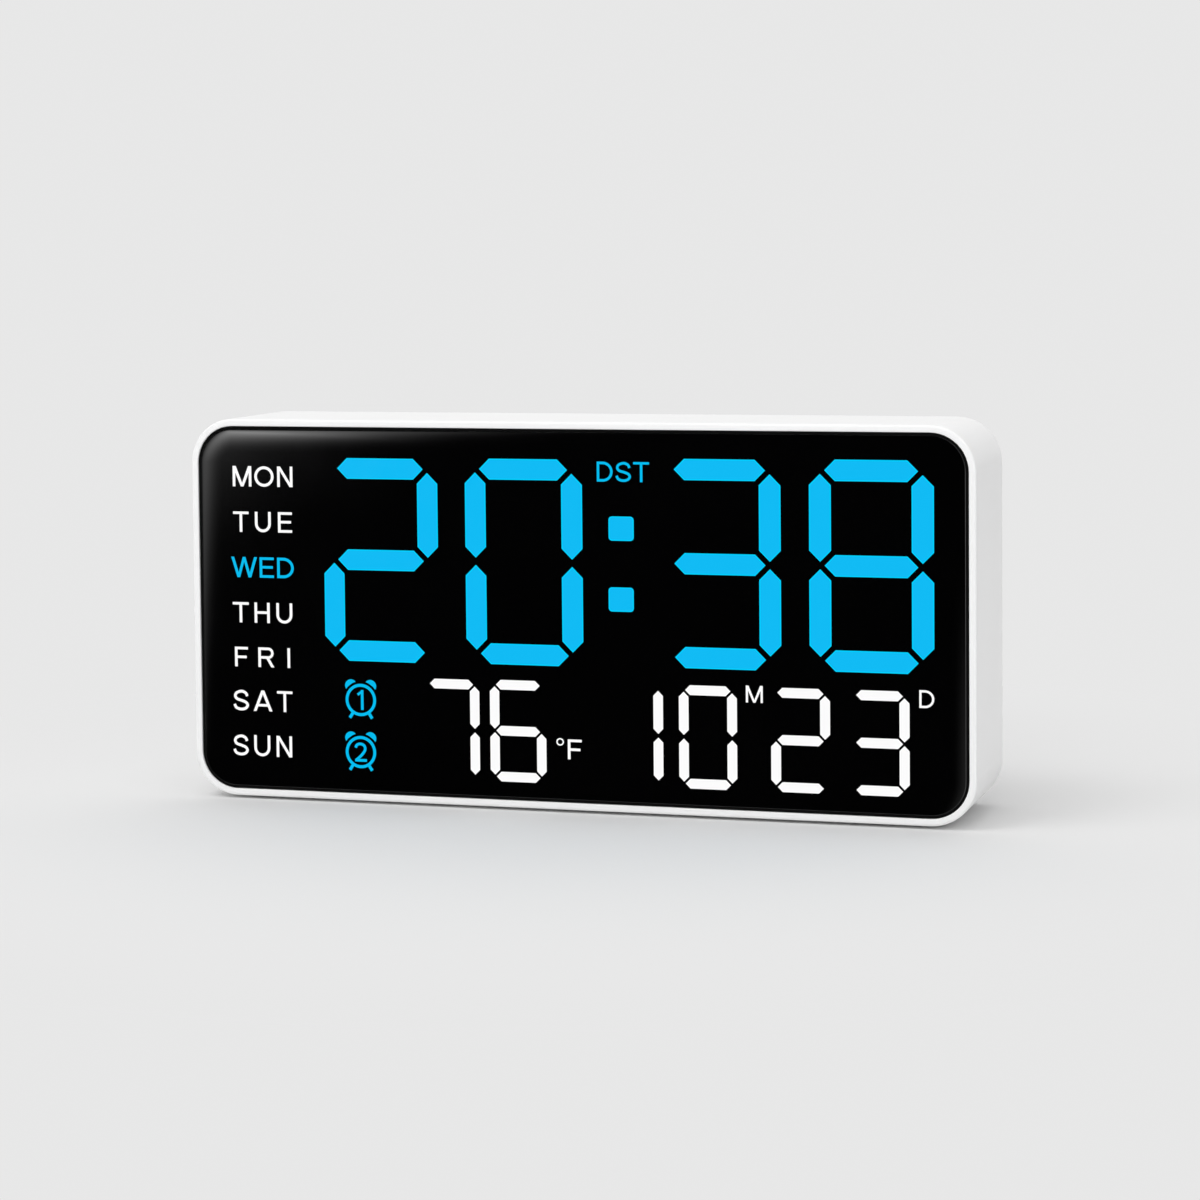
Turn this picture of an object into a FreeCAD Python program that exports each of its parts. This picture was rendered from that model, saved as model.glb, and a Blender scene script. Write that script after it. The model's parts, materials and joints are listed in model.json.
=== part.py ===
import FreeCAD, Part
import math
import os

import Sketcher
from FreeCAD import Rotation, Vector

# A free-standing LED day clock. +X is to the right as the display is read, +Y runs from the
# display to the back, and +Z is up. The origin is on the surface that the feet stand on, under
# the middle of the case. Lengths are in millimetres.

doc = FreeCAD.newDocument("day_clock")

# Every size that can be set by itself. Each row is an alias, its number and what it measures.
SIZES = [
    # the case
    ("case_width", 216.0, "case, along X"),
    ("case_height", 103.0, "case, along Z"),
    ("case_depth", 40.0, "case, along Y"),
    ("case_corner", 12.0, "radius of the case's corners, seen from the front"),
    ("case_wall", 2.4, "wall of the case behind the lens"),
    ("rim_width", 1.9, "rim round the lens"),
    ("rim_round", 0.7, "rounding of the rim's outer edge"),
    ("lip_round", 0.3, "rounding of the rim's inner edge"),
    ("back_round", 0.9, "rounding of the case's back edge"),
    ("cover_rim", 1.4, "case wall that shows round the rear cover"),
    ("ledge_thickness", 2.0, "ledge that carries the lens"),
    # the feet
    ("foot_width", 16.0, "foot, along X"),
    ("foot_length", 8.0, "foot, along Y"),
    ("foot_stand_off", 0.8, "height of the case above the surface"),
    ("foot_sunk", 0.6, "part of a foot inside the case's wall"),
    ("foot_inset_x", 24.0, "foot's centre from the case's side"),
    ("foot_inset_y", 8.5, "foot's centre from the case's front or back"),
    ("foot_gap", 0.1, "clearance round a foot in its recess"),
    # the lens and its tape
    ("lens_thickness", 2.5, "lens, along Y"),
    ("lens_gap", 0.3, "clearance between lens and rim"),
    ("lens_recess", 0.25, "lens face behind the rim's face"),
    ("lens_round", 0.9, "rounding of the lens's front edge"),
    ("tape_thickness", 0.3, "tape between lens and ledge"),
    ("tape_margin", 0.5, "tape edge from the lens's edge and from the ledge's"),
    # the display module
    ("module_inset_x", 6.8, "reflector's side from the lens's side"),
    ("module_inset_z", 3.3, "reflector's top or bottom from the lens's edge"),
    ("module_depth", 9.0, "reflector, along Y"),
    ("module_gap", 0.5, "clearance round the reflector"),
    ("film_thickness", 0.25, "diffuser film"),
    ("film_gap", 0.1, "clearance between film and lens"),
    # the digits, placed from the middle of the display and stretched with it
    ("drawn_width", 198.0, "display width that the digits and legends are laid out for"),
    ("drawn_height", 92.0, "display height that the digits and legends are laid out for"),
    ("time_digit_width", 33.0, "time digit, along X"),
    ("time_segment", 6.1, "thickness of a time segment"),
    ("time_pitch", 24.8, "height between a time digit's level segments"),
    ("time_middle_z", 14.5, "middle segment of the time digits"),
    ("time_x1", -52.9, "middle of the first time digit"),
    ("time_x2", -12.4, "middle of the second time digit"),
    ("time_x3", 41.2, "middle of the third time digit"),
    ("time_x4", 81.2, "middle of the fourth time digit"),
    ("colon_size", 7.1, "side of a colon square"),
    ("colon_x", 14.5, "middle of the colon"),
    ("colon_pitch", 18.8, "height between the colon's squares"),
    ("small_digit_width", 15.8, "calendar digit, along X"),
    ("small_segment", 2.95, "thickness of a calendar segment"),
    ("small_pitch", 12.15, "height between a calendar digit's level segments"),
    ("small_middle_z", -30.95, "middle segment of the calendar digits"),
    ("degrees_tens_x", -32.5, "middle of the temperature's tens"),
    ("degrees_units_x", -14.0, "middle of the temperature's units"),
    ("month_tens_x", 18.2, "middle of the month's tens"),
    ("month_units_x", 38.1, "middle of the month's units"),
    ("day_tens_x", 62.7, "middle of the day's tens"),
    ("day_units_x", 83.2, "middle of the day's units"),
    ("time_gap", 1.35, "distance between a time digit's segments"),
    ("small_gap", 0.45, "distance between a calendar digit's segments"),
    # the legends, placed from the middle of the display
    ("weekday_x", -87.5, "middle of the weekday column"),
    ("weekday_top_z", 36.1, "middle of the top weekday"),
    ("weekday_pitch", 12.35, "height between two weekdays"),
    ("weekday_cell_width", 19.6, "light cell of a weekday, along X"),
    ("legend_cell_height", 7.4, "light cell of a weekday or a unit, along Z"),
    ("dst_x", 14.9, "middle of the daylight-saving legend"),
    ("dst_z", 38.7, "height of the daylight-saving legend"),
    ("dst_cell_width", 16.4, "light cell of the daylight-saving legend"),
    ("unit_cell_width", 8.4, "light cell of the temperature's unit"),
    ("unit_x", 0.2, "middle of the temperature's unit"),
    ("unit_z", -35.5, "height of the temperature's unit"),
    ("letter_cell", 5.6, "light cell of the month's and the day's letter"),
    ("month_letter_x", 50.4, "middle of the month's letter"),
    ("day_letter_x", 95.3, "middle of the day's letter"),
    ("letter_z", -19.1, "height of the month's and the day's letter"),
    ("alarm_cell_width", 11.0, "light cell of an alarm icon, along X"),
    ("alarm_cell_height", 12.4, "light cell of an alarm icon, along Z"),
    ("alarm_x", -58.7, "middle of the alarm icons"),
    ("alarm_z", -31.3, "height halfway between the alarm icons"),
    ("alarm_pitch", 14.1, "height between the alarm icons"),
    # light-emitting diodes
    ("led_length", 2.0, "diode, along X"),
    ("led_width", 1.25, "diode, along Z"),
    ("led_height", 0.8, "diode, along Y"),
    # circuit boards
    ("board_thickness", 1.6, "both circuit boards"),
    ("board_gap", 0.6, "clearance round a board in the case"),
    ("main_board_inset", 8.1, "main board's end from the cavity's side"),
    ("main_board_height", 30.0, "main board, along Z"),
    ("main_board_top", 5.3, "main board's top edge from the case's top"),
    ("main_board_drop", 8.6, "distance from the main board's back to the rear cover"),
    ("driver_size", 10.0, "side of a driver chip"),
    ("driver_height", 1.6, "driver chip, along Y"),
    ("driver_x", 46.0, "driver chips from the middle"),
    ("driver_drop", 18.3, "driver chips below the case's middle"),
    ("mcu_size", 12.0, "side of the microcontroller"),
    ("mcu_height", 1.4, "microcontroller, along Y"),
    ("mcu_x", -2.0, "microcontroller's middle"),
    ("mcu_rise", 6.5, "microcontroller above the main board's middle"),
    ("lead_pitch", 0.8, "distance between a chip's leads"),
    ("lead_width", 0.35, "a chip's lead"),
    ("lead_reach", 1.2, "lead beyond a chip's body"),
    ("lead_thickness", 0.2, "a chip's lead, along Y"),
    ("crystal_length", 10.6, "crystal can, along X"),
    ("crystal_width", 4.4, "crystal can, along Z"),
    ("crystal_height", 3.4, "crystal can, along Y"),
    ("crystal_x", 18.0, "crystal's middle"),
    ("crystal_rise", 6.5, "crystal above the main board's middle"),
    ("capacitor_radius", 3.15, "electrolytic capacitor"),
    ("capacitor_height", 5.6, "electrolytic capacitor, along Y"),
    ("capacitor_x", -28.0, "middle of the capacitors"),
    ("capacitor_pitch", 8.0, "distance between the capacitors"),
    ("capacitor_drop", 4.5, "capacitors below the main board's middle"),
    ("buzzer_radius", 6.0, "buzzer"),
    ("buzzer_height", 6.5, "buzzer, along Y"),
    ("buzzer_port", 1.2, "radius of the buzzer's sound port"),
    ("buzzer_x", 30.0, "buzzer's middle"),
    ("buzzer_drop", 4.0, "buzzer below the main board's middle"),
    ("sensor_size", 4.4, "temperature sensor, along X and Z"),
    ("sensor_depth", 3.4, "temperature sensor, along Y"),
    ("sensor_inset", 30.5, "temperature sensor from the main board's end"),
    ("sensor_hang", 13.5, "temperature sensor below the main board's edge"),
    ("sensor_lead", 0.45, "side of a sensor lead"),
    ("sensor_lead_pitch", 1.27, "distance between the sensor's leads"),
    ("sensor_lead_lap", 2.0, "sensor lead that lies on the main board"),
    # the link between the boards
    ("link_width", 2.5, "link strip, along Z"),
    ("link_drop", 7.5, "link strip below the main board's middle"),
    ("link_socket_height", 8.5, "socket strip, along Y"),
    ("link_header_height", 2.5, "header strip, along Y"),
    ("link_pin", 0.64, "side of a header pin"),
    ("link_pin_gap", 0.1, "clearance round a pin in the socket's slot"),
    ("link_pin_grip", 5.0, "pin inside the socket"),
    ("link_pin_pitch", 2.54, "distance between header pins"),
    # screws
    ("screw_radius", 1.25, "shank of every screw"),
    ("screw_gap", 0.05, "clearance of a shank in its boss"),
    ("screw_hole_gap", 0.15, "clearance of a shank in a board or cover"),
    ("screw_head_radius", 2.3, "head of every screw"),
    ("screw_head_height", 1.5, "head of every screw"),
    ("screw_head_gap", 0.3, "clearance round a head in its counterbore"),
    ("screw_cross_length", 2.8, "cross recess, tip to tip"),
    ("screw_cross_width", 0.7, "cross recess, each slot"),
    ("screw_cross_depth", 0.9, "cross recess"),
    ("board_screw_length", 6.0, "shank of a board screw"),
    ("cover_screw_length", 12.0, "shank of a cover screw"),
    ("door_screw_length", 5.5, "shank of the battery door's screw"),
    ("screw_tip_gap", 0.6, "bore beyond a screw's tip"),
    ("counterbore_floor", 0.7, "cover left under a sunk head"),
    # bosses
    ("cover_boss_radius", 3.0, "case boss that takes a cover screw"),
    ("cover_boss_inset", 13.1, "cover bosses from the cavity's top or bottom"),
    ("boss_merge", 0.5, "cover boss that runs into the case's wall"),
    ("display_boss_radius", 2.5, "case boss that takes a display board screw"),
    ("display_boss_pitch", 20.0, "height between the display board's screws"),
    ("main_boss_radius", 3.0, "cover boss that takes a main board screw"),
    ("main_boss_inset", 3.6, "main board's screws from its edges"),
    # the rear cover
    ("cover_thickness", 2.4, "rear cover"),
    ("cover_gap", 0.15, "clearance between cover and case"),
    ("well_floor", 1.6, "floor and walls of the cover's wells"),
    # the buttons
    ("button_radius", 3.5, "button cap"),
    ("button_pitch", 18.0, "distance between buttons"),
    ("button_drop", 11.3, "buttons below the case's top"),
    ("button_gap", 0.2, "clearance round a button"),
    ("button_proud", 0.85, "cap above the tray's floor"),
    ("button_flange", 1.0, "flange that keeps a button in, along Y"),
    ("button_flange_lip", 1.0, "flange beyond the cap"),
    ("button_stem_radius", 2.0, "stem that reaches the switch"),
    ("button_lift", 0.1, "clearance between flange and cover"),
    ("button_travel", 0.5, "how far a button goes in"),
    ("button_edge", 0.5, "rounding of a cap"),
    ("tray_depth", 1.0, "button tray, along Y"),
    ("tray_margin", 7.5, "tray beyond the outer buttons' middles"),
    ("tray_height", 11.0, "button tray, along Z"),
    ("tray_corner", 5.0, "tray's corners"),
    # the switches
    ("switch_size", 6.0, "side of a switch housing"),
    ("switch_height", 3.5, "switch housing, along Y"),
    ("plunger_radius", 1.7, "switch plunger"),
    ("plunger_gap", 0.05, "clearance of a plunger in its housing"),
    ("plunger_grip", 1.4, "plunger inside its housing"),
    ("switch_base", 0.8, "floor of a switch housing"),
    # the power socket
    ("socket_width", 9.0, "power socket, along X"),
    ("socket_height", 3.3, "power socket, along Z"),
    ("socket_wall", 0.3, "power socket's metal shell"),
    ("socket_inset", 28.0, "power socket from the case's side"),
    ("socket_drop", 23.8, "power socket below the case's top"),
    ("socket_gap", 0.2, "clearance round the socket in its well"),
    ("tongue_width", 6.7, "contact tongue, along X"),
    ("tongue_thickness", 0.7, "contact tongue, along Z"),
    ("tongue_recess", 1.0, "tongue's end behind the socket's mouth"),
    ("tongue_base", 1.5, "insulator at the socket's foot, along Y"),
    ("tongue_gap", 0.05, "clearance of the insulator in the shell"),
    ("plug_well_width", 14.0, "well for the plug's grip, along X"),
    ("plug_well_height", 8.0, "well for the plug's grip, along Z"),
    ("plug_well_depth", 5.2, "well for the plug's grip, along Y"),
    ("plug_well_corner", 3.0, "well's corners"),
    # the backup cell
    ("cell_radius", 10.0, "coin cell"),
    ("cell_height", 3.2, "coin cell"),
    ("cell_edge", 0.4, "coin cell's edge"),
    ("cell_gap", 0.2, "clearance round the cell in its holder"),
    ("cell_inset", 30.0, "cell's middle from the case's side"),
    ("cell_drop", 21.8, "cell's middle below the case's top"),
    ("holder_wall", 1.5, "cell holder's wall"),
    ("holder_floor", 0.8, "cell holder's floor"),
    ("contact_radius", 4.0, "contact under the cell"),
    ("contact_thickness", 0.2, "contacts of the cell"),
    ("clip_width", 5.0, "clip over the cell, along X"),
    ("clip_reach", 7.0, "clip over the cell, along Z"),
    ("hatch_size", 24.4, "side of the hatch over the cell"),
    ("hatch_corner", 4.0, "hatch's corners"),
    ("hatch_collar", 1.4, "wall of the hatch's collar"),
    ("hatch_collar_gap", 0.2, "clearance between collar and clip"),
    ("door_width", 28.8, "battery door, along X"),
    ("door_height", 34.6, "battery door, along Z"),
    ("door_thickness", 2.0, "battery door"),
    ("door_corner", 3.0, "battery door's corners"),
    ("door_gap", 0.2, "clearance round the battery door"),
    ("door_above_cell", 14.0, "door's top edge above the cell's middle"),
    ("door_screw_inset", 3.8, "door's screw from its lower edge"),
    ("door_sink", 0.05, "door face behind the cover's face"),
    # the stand
    ("pin_radius", 1.25, "stand's hinge pin"),
    ("pin_gap", 0.05, "clearance of the pin in the leg"),
    ("pin_ear_gap", 0.02, "clearance of the pin in the cover's ears"),
    ("hinge_drop", 37.8, "hinge below the case's top"),
    ("leg_width", 59.2, "stand leg, along X"),
    ("leg_thickness", 3.2, "stand leg"),
    ("leg_gap", 0.4, "clearance round the leg in its recess"),
    ("leg_tip_z", 6.8, "height of the leg's lower end"),
    ("leg_corner", 4.0, "leg's corners"),
    ("leg_sink", 0.2, "leg's face behind the cover's face"),
    ("leg_panel_depth", 1.2, "hollow in the leg's inner face"),
    ("leg_panel_border", 4.0, "border round that hollow"),
    ("leg_panel_corner", 1.8, "that hollow's corners"),
    ("tip_width", 40.0, "rubber strip in the leg's end, along X"),
    ("tip_thickness", 1.8, "rubber strip in the leg's end"),
    ("tip_sunk", 2.4, "rubber strip inside the leg"),
    ("tip_proud", 1.4, "rubber strip below the leg"),
    ("tip_gap", 0.05, "clearance of the strip in its slot"),
    ("ear_thickness", 5.5, "ears that carry the hinge pin, along X"),
    ("pin_end", 1.0, "ear beyond the pin's end"),
    ("notch_width", 10.0, "finger notch beside the leg, along X"),
    ("notch_under", 6.0, "finger notch under the leg, along X"),
    ("notch_height", 20.0, "finger notch, along Z"),
    ("notch_depth", 6.2, "finger notch, along Y"),
    ("notch_z", 24.0, "middle of the finger notch"),
    ("notch_corner", 3.0, "finger notch's corners"),
    # holes in the cover
    ("keyhole_inset", 58.0, "keyholes from the case's sides"),
    ("keyhole_drop", 31.8, "keyholes' round ends below the case's top"),
    ("keyhole_radius", 4.5, "keyhole's round end"),
    ("keyhole_slot", 4.6, "keyhole's slot, across"),
    ("keyhole_rise", 8.0, "keyhole's slot, upwards"),
    ("vent_width", 2.0, "vent slot, along X"),
    ("vent_height", 12.0, "vent slot, along Z"),
    ("vent_corner", 0.9, "vent slot's corners"),
    ("vent_pitch", 5.0, "distance between vent slots"),
    ("vent_inset", 31.0, "middle of a group of vent slots from the case's side"),
    ("vent_drop", 4.3, "vent slots below the case's middle"),
    ("sound_hole", 0.8, "radius of a sound hole"),
    ("sound_ring", 3.0, "radius of the ring of sound holes"),
]

VENT_COUNT = 7
SOUND_HOLE_COUNT = 6
WEEKDAYS = 7
LINK_PINS = 20
LEADS_PER_SIDE = 11
BUTTONS = ["mode", "up", "down", "alarm", "dimmer", "dst"]

sheet = doc.addObject("Spreadsheet::Sheet", "Sizes")
for row, (alias, number, meaning) in enumerate(SIZES, start=1):
    sheet.set(f"A{row}", meaning)
    sheet.set(f"B{row}", str(number))
    sheet.setAlias(f"B{row}", alias)
doc.recompute()


class Size:
    """A length that holds its number and the spreadsheet expression that gives it."""

    def __init__(self, number, text):
        self.number = number
        self.text = text

    def joined(self, other, sign, number, swapped=False):
        mine = self.text
        theirs = other.text if isinstance(other, Size) else repr(float(other))
        if swapped:
            mine, theirs = theirs, mine
        return Size(number, f"({mine} {sign} {theirs})")

    def __add__(self, other):
        return self.joined(other, "+", self.number + float(other))

    def __radd__(self, other):
        return self.joined(other, "+", self.number + float(other), swapped=True)

    def __sub__(self, other):
        return self.joined(other, "-", self.number - float(other))

    def __rsub__(self, other):
        return self.joined(other, "-", float(other) - self.number, swapped=True)

    def __mul__(self, other):
        return self.joined(other, "*", self.number * float(other))

    def __rmul__(self, other):
        return self.joined(other, "*", self.number * float(other), swapped=True)

    def __truediv__(self, other):
        return self.joined(other, "/", self.number / float(other))

    def __neg__(self):
        return Size(-self.number, f"(0.0 - {self.text})")

    def __float__(self):
        return float(self.number)


class Sizes:
    """The spreadsheet's sizes, by alias."""

    def __getattr__(self, alias):
        return Size(float(sheet.get(alias)), f"Sizes.{alias}")


s = Sizes()


def bind(thing, prop, size):
    """Ties a property to the spreadsheet."""
    text = size.text if isinstance(size, Size) else repr(float(size))
    thing.setExpression(prop, text)


# ---------------------------------------------------------------- places worked out from the sizes

MIDDLE_X = 0.0
half_depth = s.case_depth / 2
front_y = -half_depth
back_y = half_depth
case_bottom = s.foot_stand_off
case_top = case_bottom + s.case_height
middle_z = case_bottom + s.case_height / 2

opening_width = s.case_width - 2 * s.rim_width
opening_height = s.case_height - 2 * s.rim_width
opening_corner = s.case_corner - s.rim_width
lens_width = opening_width - 2 * s.lens_gap
lens_height = opening_height - 2 * s.lens_gap
lens_corner = opening_corner - s.lens_gap
lens_front = front_y + s.lens_recess
lens_back = lens_front + s.lens_thickness
ledge_front = lens_back + s.tape_thickness
ledge_back = ledge_front + s.ledge_thickness
module_width = lens_width - 2 * s.module_inset_x
module_height = lens_height - 2 * s.module_inset_z
stretch_x = module_width / s.drawn_width
stretch_z = module_height / s.drawn_height
film_front = lens_back + s.film_gap
module_front = film_front + s.film_thickness
display_board_front = module_front + s.module_depth
display_board_back = display_board_front + s.board_thickness

cavity_width = s.case_width - 2 * s.case_wall
cavity_height = s.case_height - 2 * s.case_wall
cavity_corner = s.case_corner - s.case_wall
cover_front = back_y - s.cover_thickness
tray_floor = back_y - s.tray_depth
tray_inside = tray_floor - s.cover_thickness

main_board_back = cover_front - s.main_board_drop
main_board_front = main_board_back - s.board_thickness
main_board_z = case_top - s.main_board_top - s.main_board_height / 2
main_board_width = cavity_width - 2 * s.main_board_inset
mcu_z = main_board_z + s.mcu_rise
crystal_z = main_board_z + s.crystal_rise
capacitor_z = main_board_z - s.capacitor_drop
buzzer_z = main_board_z - s.buzzer_drop
link_z = main_board_z - s.link_drop
link_length = LINK_PINS * s.link_pin_pitch
sensor_x = main_board_width / 2 - s.sensor_inset
sensor_z = main_board_z - s.main_board_height / 2 - s.sensor_hang
driver_z = middle_z - s.driver_drop

cover_boss_x = cavity_width / 2 - s.cover_boss_radius + s.boss_merge
cover_boss_rise = cavity_height / 2 - s.cover_boss_inset
ledge_half_width = module_width / 2 + s.module_gap
display_boss_x = (ledge_half_width + cavity_width / 2) / 2

hinge_y = back_y - s.leg_sink - s.leg_thickness
hinge_z = case_top - s.hinge_drop
recess_half_width = s.leg_width / 2 + s.leg_gap
leg_floor = hinge_y - s.leg_gap
barrel_floor = hinge_y - s.leg_thickness - s.leg_gap
recess_bottom = s.leg_tip_z - s.tip_proud - s.leg_gap
recess_top = hinge_z + s.leg_thickness + s.leg_gap

button_z = case_top - s.button_drop
socket_x = s.case_width / 2 - s.socket_inset
socket_z = case_top - s.socket_drop
socket_mouth = back_y - s.plug_well_depth
cell_x = s.cell_inset - s.case_width / 2
cell_z = case_top - s.cell_drop
door_seat = back_y - s.door_sink - s.door_thickness
door_z = cell_z + s.door_above_cell - s.door_height / 2
door_screw_z = cell_z + s.door_above_cell - s.door_height + s.door_screw_inset
vent_x = s.case_width / 2 - s.vent_inset
vent_z = middle_z - s.vent_drop
keyhole_x = s.case_width / 2 - s.keyhole_inset
keyhole_z = case_top - s.keyhole_drop

cell_front = main_board_back + s.holder_floor + s.contact_thickness
cell_back = cell_front + s.cell_height
clip_back = cell_back + s.contact_thickness


# ---------------------------------------------------------------- drawing helpers

# Each direction that a piece is built up along, with the plane square to it and whether the
# plane's own normal points the other way.
PLANES = {
    "X": ("YZ_Plane", False),
    "Y": ("XZ_Plane", True),
    "Z": ("XY_Plane", False),
}
CENTRE_POINT = 3
START_POINT = 1
END_POINT = 2


def body(name):
    """A new PartDesign body for the sub-part of that name."""
    made = doc.addObject("PartDesign::Body", name)
    made.Label = name
    return made


def relation(kind, *where):
    """A constraint that needs no size, such as Horizontal."""
    return Sketcher.Constraint(kind, *where), None


def dimension(kind, where, size):
    """A constraint with the size that it is tied to."""
    return Sketcher.Constraint(kind, *where, float(size)), size


def circle(u, v, radius):
    """A circle for a sketch, by its centre and radius."""

    def draw(sketch):
        centre = Vector(float(u), float(v), 0)
        index = sketch.addGeometry(Part.Circle(centre, Vector(0, 0, 1), float(radius)))
        return [
            dimension("DistanceX", (index, CENTRE_POINT), u),
            dimension("DistanceY", (index, CENTRE_POINT), v),
            dimension("Radius", (index,), radius),
        ]

    return draw


def rectangle(u, v, width, height):
    """A rectangle for a sketch, by its middle and sides."""

    def draw(sketch):
        left, right = u - width / 2, u + width / 2
        low, high = v - height / 2, v + height / 2
        corners = [(left, low), (right, low), (right, high), (left, high)]
        points = [Vector(float(x), float(y), 0) for x, y in corners]
        sides = [
            sketch.addGeometry(Part.LineSegment(points[k], points[(k + 1) % 4]))
            for k in range(4)
        ]
        joints = [
            relation("Coincident", sides[k], END_POINT, sides[(k + 1) % 4], START_POINT)
            for k in range(4)
        ]
        levels = [relation("Horizontal", sides[0]), relation("Horizontal", sides[2])]
        uprights = [relation("Vertical", sides[1]), relation("Vertical", sides[3])]
        return joints + levels + uprights + [
            dimension("DistanceX", (sides[0], START_POINT), left),
            dimension("DistanceY", (sides[0], START_POINT), low),
            dimension("DistanceX", (sides[2], START_POINT), right),
            dimension("DistanceY", (sides[2], START_POINT), high),
        ]

    return draw


def rounded(u, v, width, height, radius):
    """A rectangle with round corners for a sketch, by its middle, sides and corner radius."""

    def draw(sketch):
        left, right = float(u - width / 2), float(u + width / 2)
        low, high = float(v - height / 2), float(v + height / 2)
        r = float(radius)
        runs = [
            ((left + r, low), (right - r, low)),
            ((right, low + r), (right, high - r)),
            ((right - r, high), (left + r, high)),
            ((left, high - r), (left, low + r)),
        ]
        centres = [
            (right - r, low + r),
            (right - r, high - r),
            (left + r, high - r),
            (left + r, low + r),
        ]
        lines = [
            sketch.addGeometry(Part.LineSegment(Vector(*start, 0), Vector(*end, 0)))
            for start, end in runs
        ]
        quarter = math.pi / 2
        arcs = []
        for k, centre in enumerate(centres):
            ring = Part.Circle(Vector(*centre, 0), Vector(0, 0, 1), r)
            start = (k - 1) * quarter
            arcs.append(sketch.addGeometry(Part.ArcOfCircle(ring, start, start + quarter)))
        joints = []
        for k in range(4):
            joints.append(relation("Tangent", lines[k], END_POINT, arcs[k], START_POINT))
            following = lines[(k + 1) % 4]
            joints.append(relation("Tangent", arcs[k], END_POINT, following, START_POINT))
        alike = [relation("Equal", arcs[0], arcs[k]) for k in range(1, 4)]
        square = [relation("Horizontal", lines[0]), relation("Vertical", lines[1])]
        return joints + alike + square + [
            dimension("DistanceY", (lines[0], START_POINT), v - height / 2),
            dimension("DistanceX", (lines[1], START_POINT), u + width / 2),
            dimension("DistanceY", (lines[2], START_POINT), v + height / 2),
            dimension("DistanceX", (lines[3], START_POINT), u - width / 2),
            dimension("Radius", (arcs[0],), radius),
        ]

    return draw


def sketch_at(owner, name, direction, place, outlines):
    """A sketch of those outlines on the body's own origin plane, moved along the direction."""
    role, flipped = PLANES[direction]
    sketch = owner.newObject("Sketcher::SketchObject", name)
    plane = next(f for f in owner.Origin.OriginFeatures if f.Role == role)
    sketch.AttachmentSupport = (plane, [""])
    sketch.MapMode = "FlatFace"
    bind(sketch, "AttachmentOffset.Base.z", -place if flipped else place)
    rows = [row for draw in outlines for row in draw(sketch)]
    for number, (constraint, size) in enumerate(rows):
        if size is not None:
            constraint.Name = f"size{number}"
    sketch.addConstraint([constraint for constraint, size in rows])
    for number, (constraint, size) in enumerate(rows):
        if size is not None:
            bind(sketch, f"Constraints.size{number}", size)
    return sketch


def extrude(kind, owner, name, direction, start, end, outlines):
    """A Pad or Pocket of those outlines, from start to end along the direction."""
    before = owner.Shape.Volume if owner.Tip else 0.0
    sketch = sketch_at(owner, f"{name}_sketch", direction, start, outlines)
    feature = owner.newObject(f"PartDesign::{kind}", name)
    feature.Profile = sketch
    flipped = PLANES[direction][1]
    feature.Reversed = flipped if kind == "Pad" else not flipped
    feature.AllowMultiFace = True
    bind(feature, "Length", end - start)
    doc.recompute()
    change = feature.Shape.Volume - before
    if kind == "Pad" and change <= 0:
        raise RuntimeError(f"{name} adds nothing")
    if kind == "Pocket" and change >= 0:
        raise RuntimeError(f"{name} cuts nothing")
    sketch.Visibility = False
    return feature


def pad(owner, name, start, end, outlines, direction="Y"):
    """Material over the outlines, from start to end."""
    return extrude("Pad", owner, name, direction, start, end, outlines)


def pocket(owner, name, start, end, outlines, direction="Y"):
    """A cut over the outlines, from start to end."""
    return extrude("Pocket", owner, name, direction, start, end, outlines)


def repeat(feature, name, count, pitch):
    """Repeats the body's last feature along X."""
    owner = feature.getParentGeoFeatureGroup()
    before = owner.Shape.Volume
    pattern = owner.newObject("PartDesign::LinearPattern", name)
    pattern.Originals = [feature]
    pattern.Direction = (feature.Profile[0], ["H_Axis"])
    pattern.Occurrences = count
    bind(pattern, "Length", (count - 1) * pitch)
    owner.Tip = pattern
    doc.recompute()
    if near(pattern.Shape.Volume, before):
        raise RuntimeError(f"{name} repeats nothing")
    return pattern


def edges_where(feature, test):
    """The names of the feature's edges that pass a test on their bounding box."""
    names = []
    for number, edge in enumerate(feature.Shape.Edges, start=1):
        if test(edge.BoundBox):
            names.append(f"Edge{number}")
    return names


def near(a, b):
    return abs(float(a) - float(b)) < 0.01


def fillet(owner, name, base, radius, test):
    """Rounds the edges of the body's last feature that pass the test."""
    feature = owner.newObject("PartDesign::Fillet", name)
    feature.Base = (base, edges_where(base, test))
    bind(feature, "Radius", radius)
    doc.recompute()
    return feature


def flat_edges_at(place, reach=None):
    """A test for edges that lie square to Y at a place, within or beyond a half width."""

    def test(box):
        flat = near(box.YMin, place) and near(box.YMax, place)
        outside = reach is None or max(abs(box.XMin), abs(box.XMax)) > float(reach)
        return flat and outside

    return test


def place_at(thing, x, y, z):
    """Ties a primitive's position to the spreadsheet."""
    bind(thing, "Placement.Base.x", x)
    bind(thing, "Placement.Base.y", y)
    bind(thing, "Placement.Base.z", z)


def block(name, x, y, z, width, depth, height):
    """A box by its middle in X and Z and its front in Y."""
    made = doc.addObject("Part::Box", name)
    bind(made, "Length", width)
    bind(made, "Width", depth)
    bind(made, "Height", height)
    place_at(made, x - width / 2, y, z - height / 2)
    return made


ALONG_Y = Rotation(Vector(1, 0, 0), -90)


def rod(name, x, y, z, radius, length):
    """A cylinder along +Y from its front end."""
    made = doc.addObject("Part::Cylinder", name)
    made.Placement.Rotation = ALONG_Y
    bind(made, "Radius", radius)
    bind(made, "Height", length)
    place_at(made, x, y, z)
    return made


def joined(name, pieces):
    """One solid out of several that meet."""
    made = doc.addObject("Part::MultiFuse", name)
    made.Shapes = pieces
    return made


def minus(name, base, tool):
    """A solid less another."""
    made = doc.addObject("Part::Cut", name)
    made.Base = base
    made.Tool = tool
    return made


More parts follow.
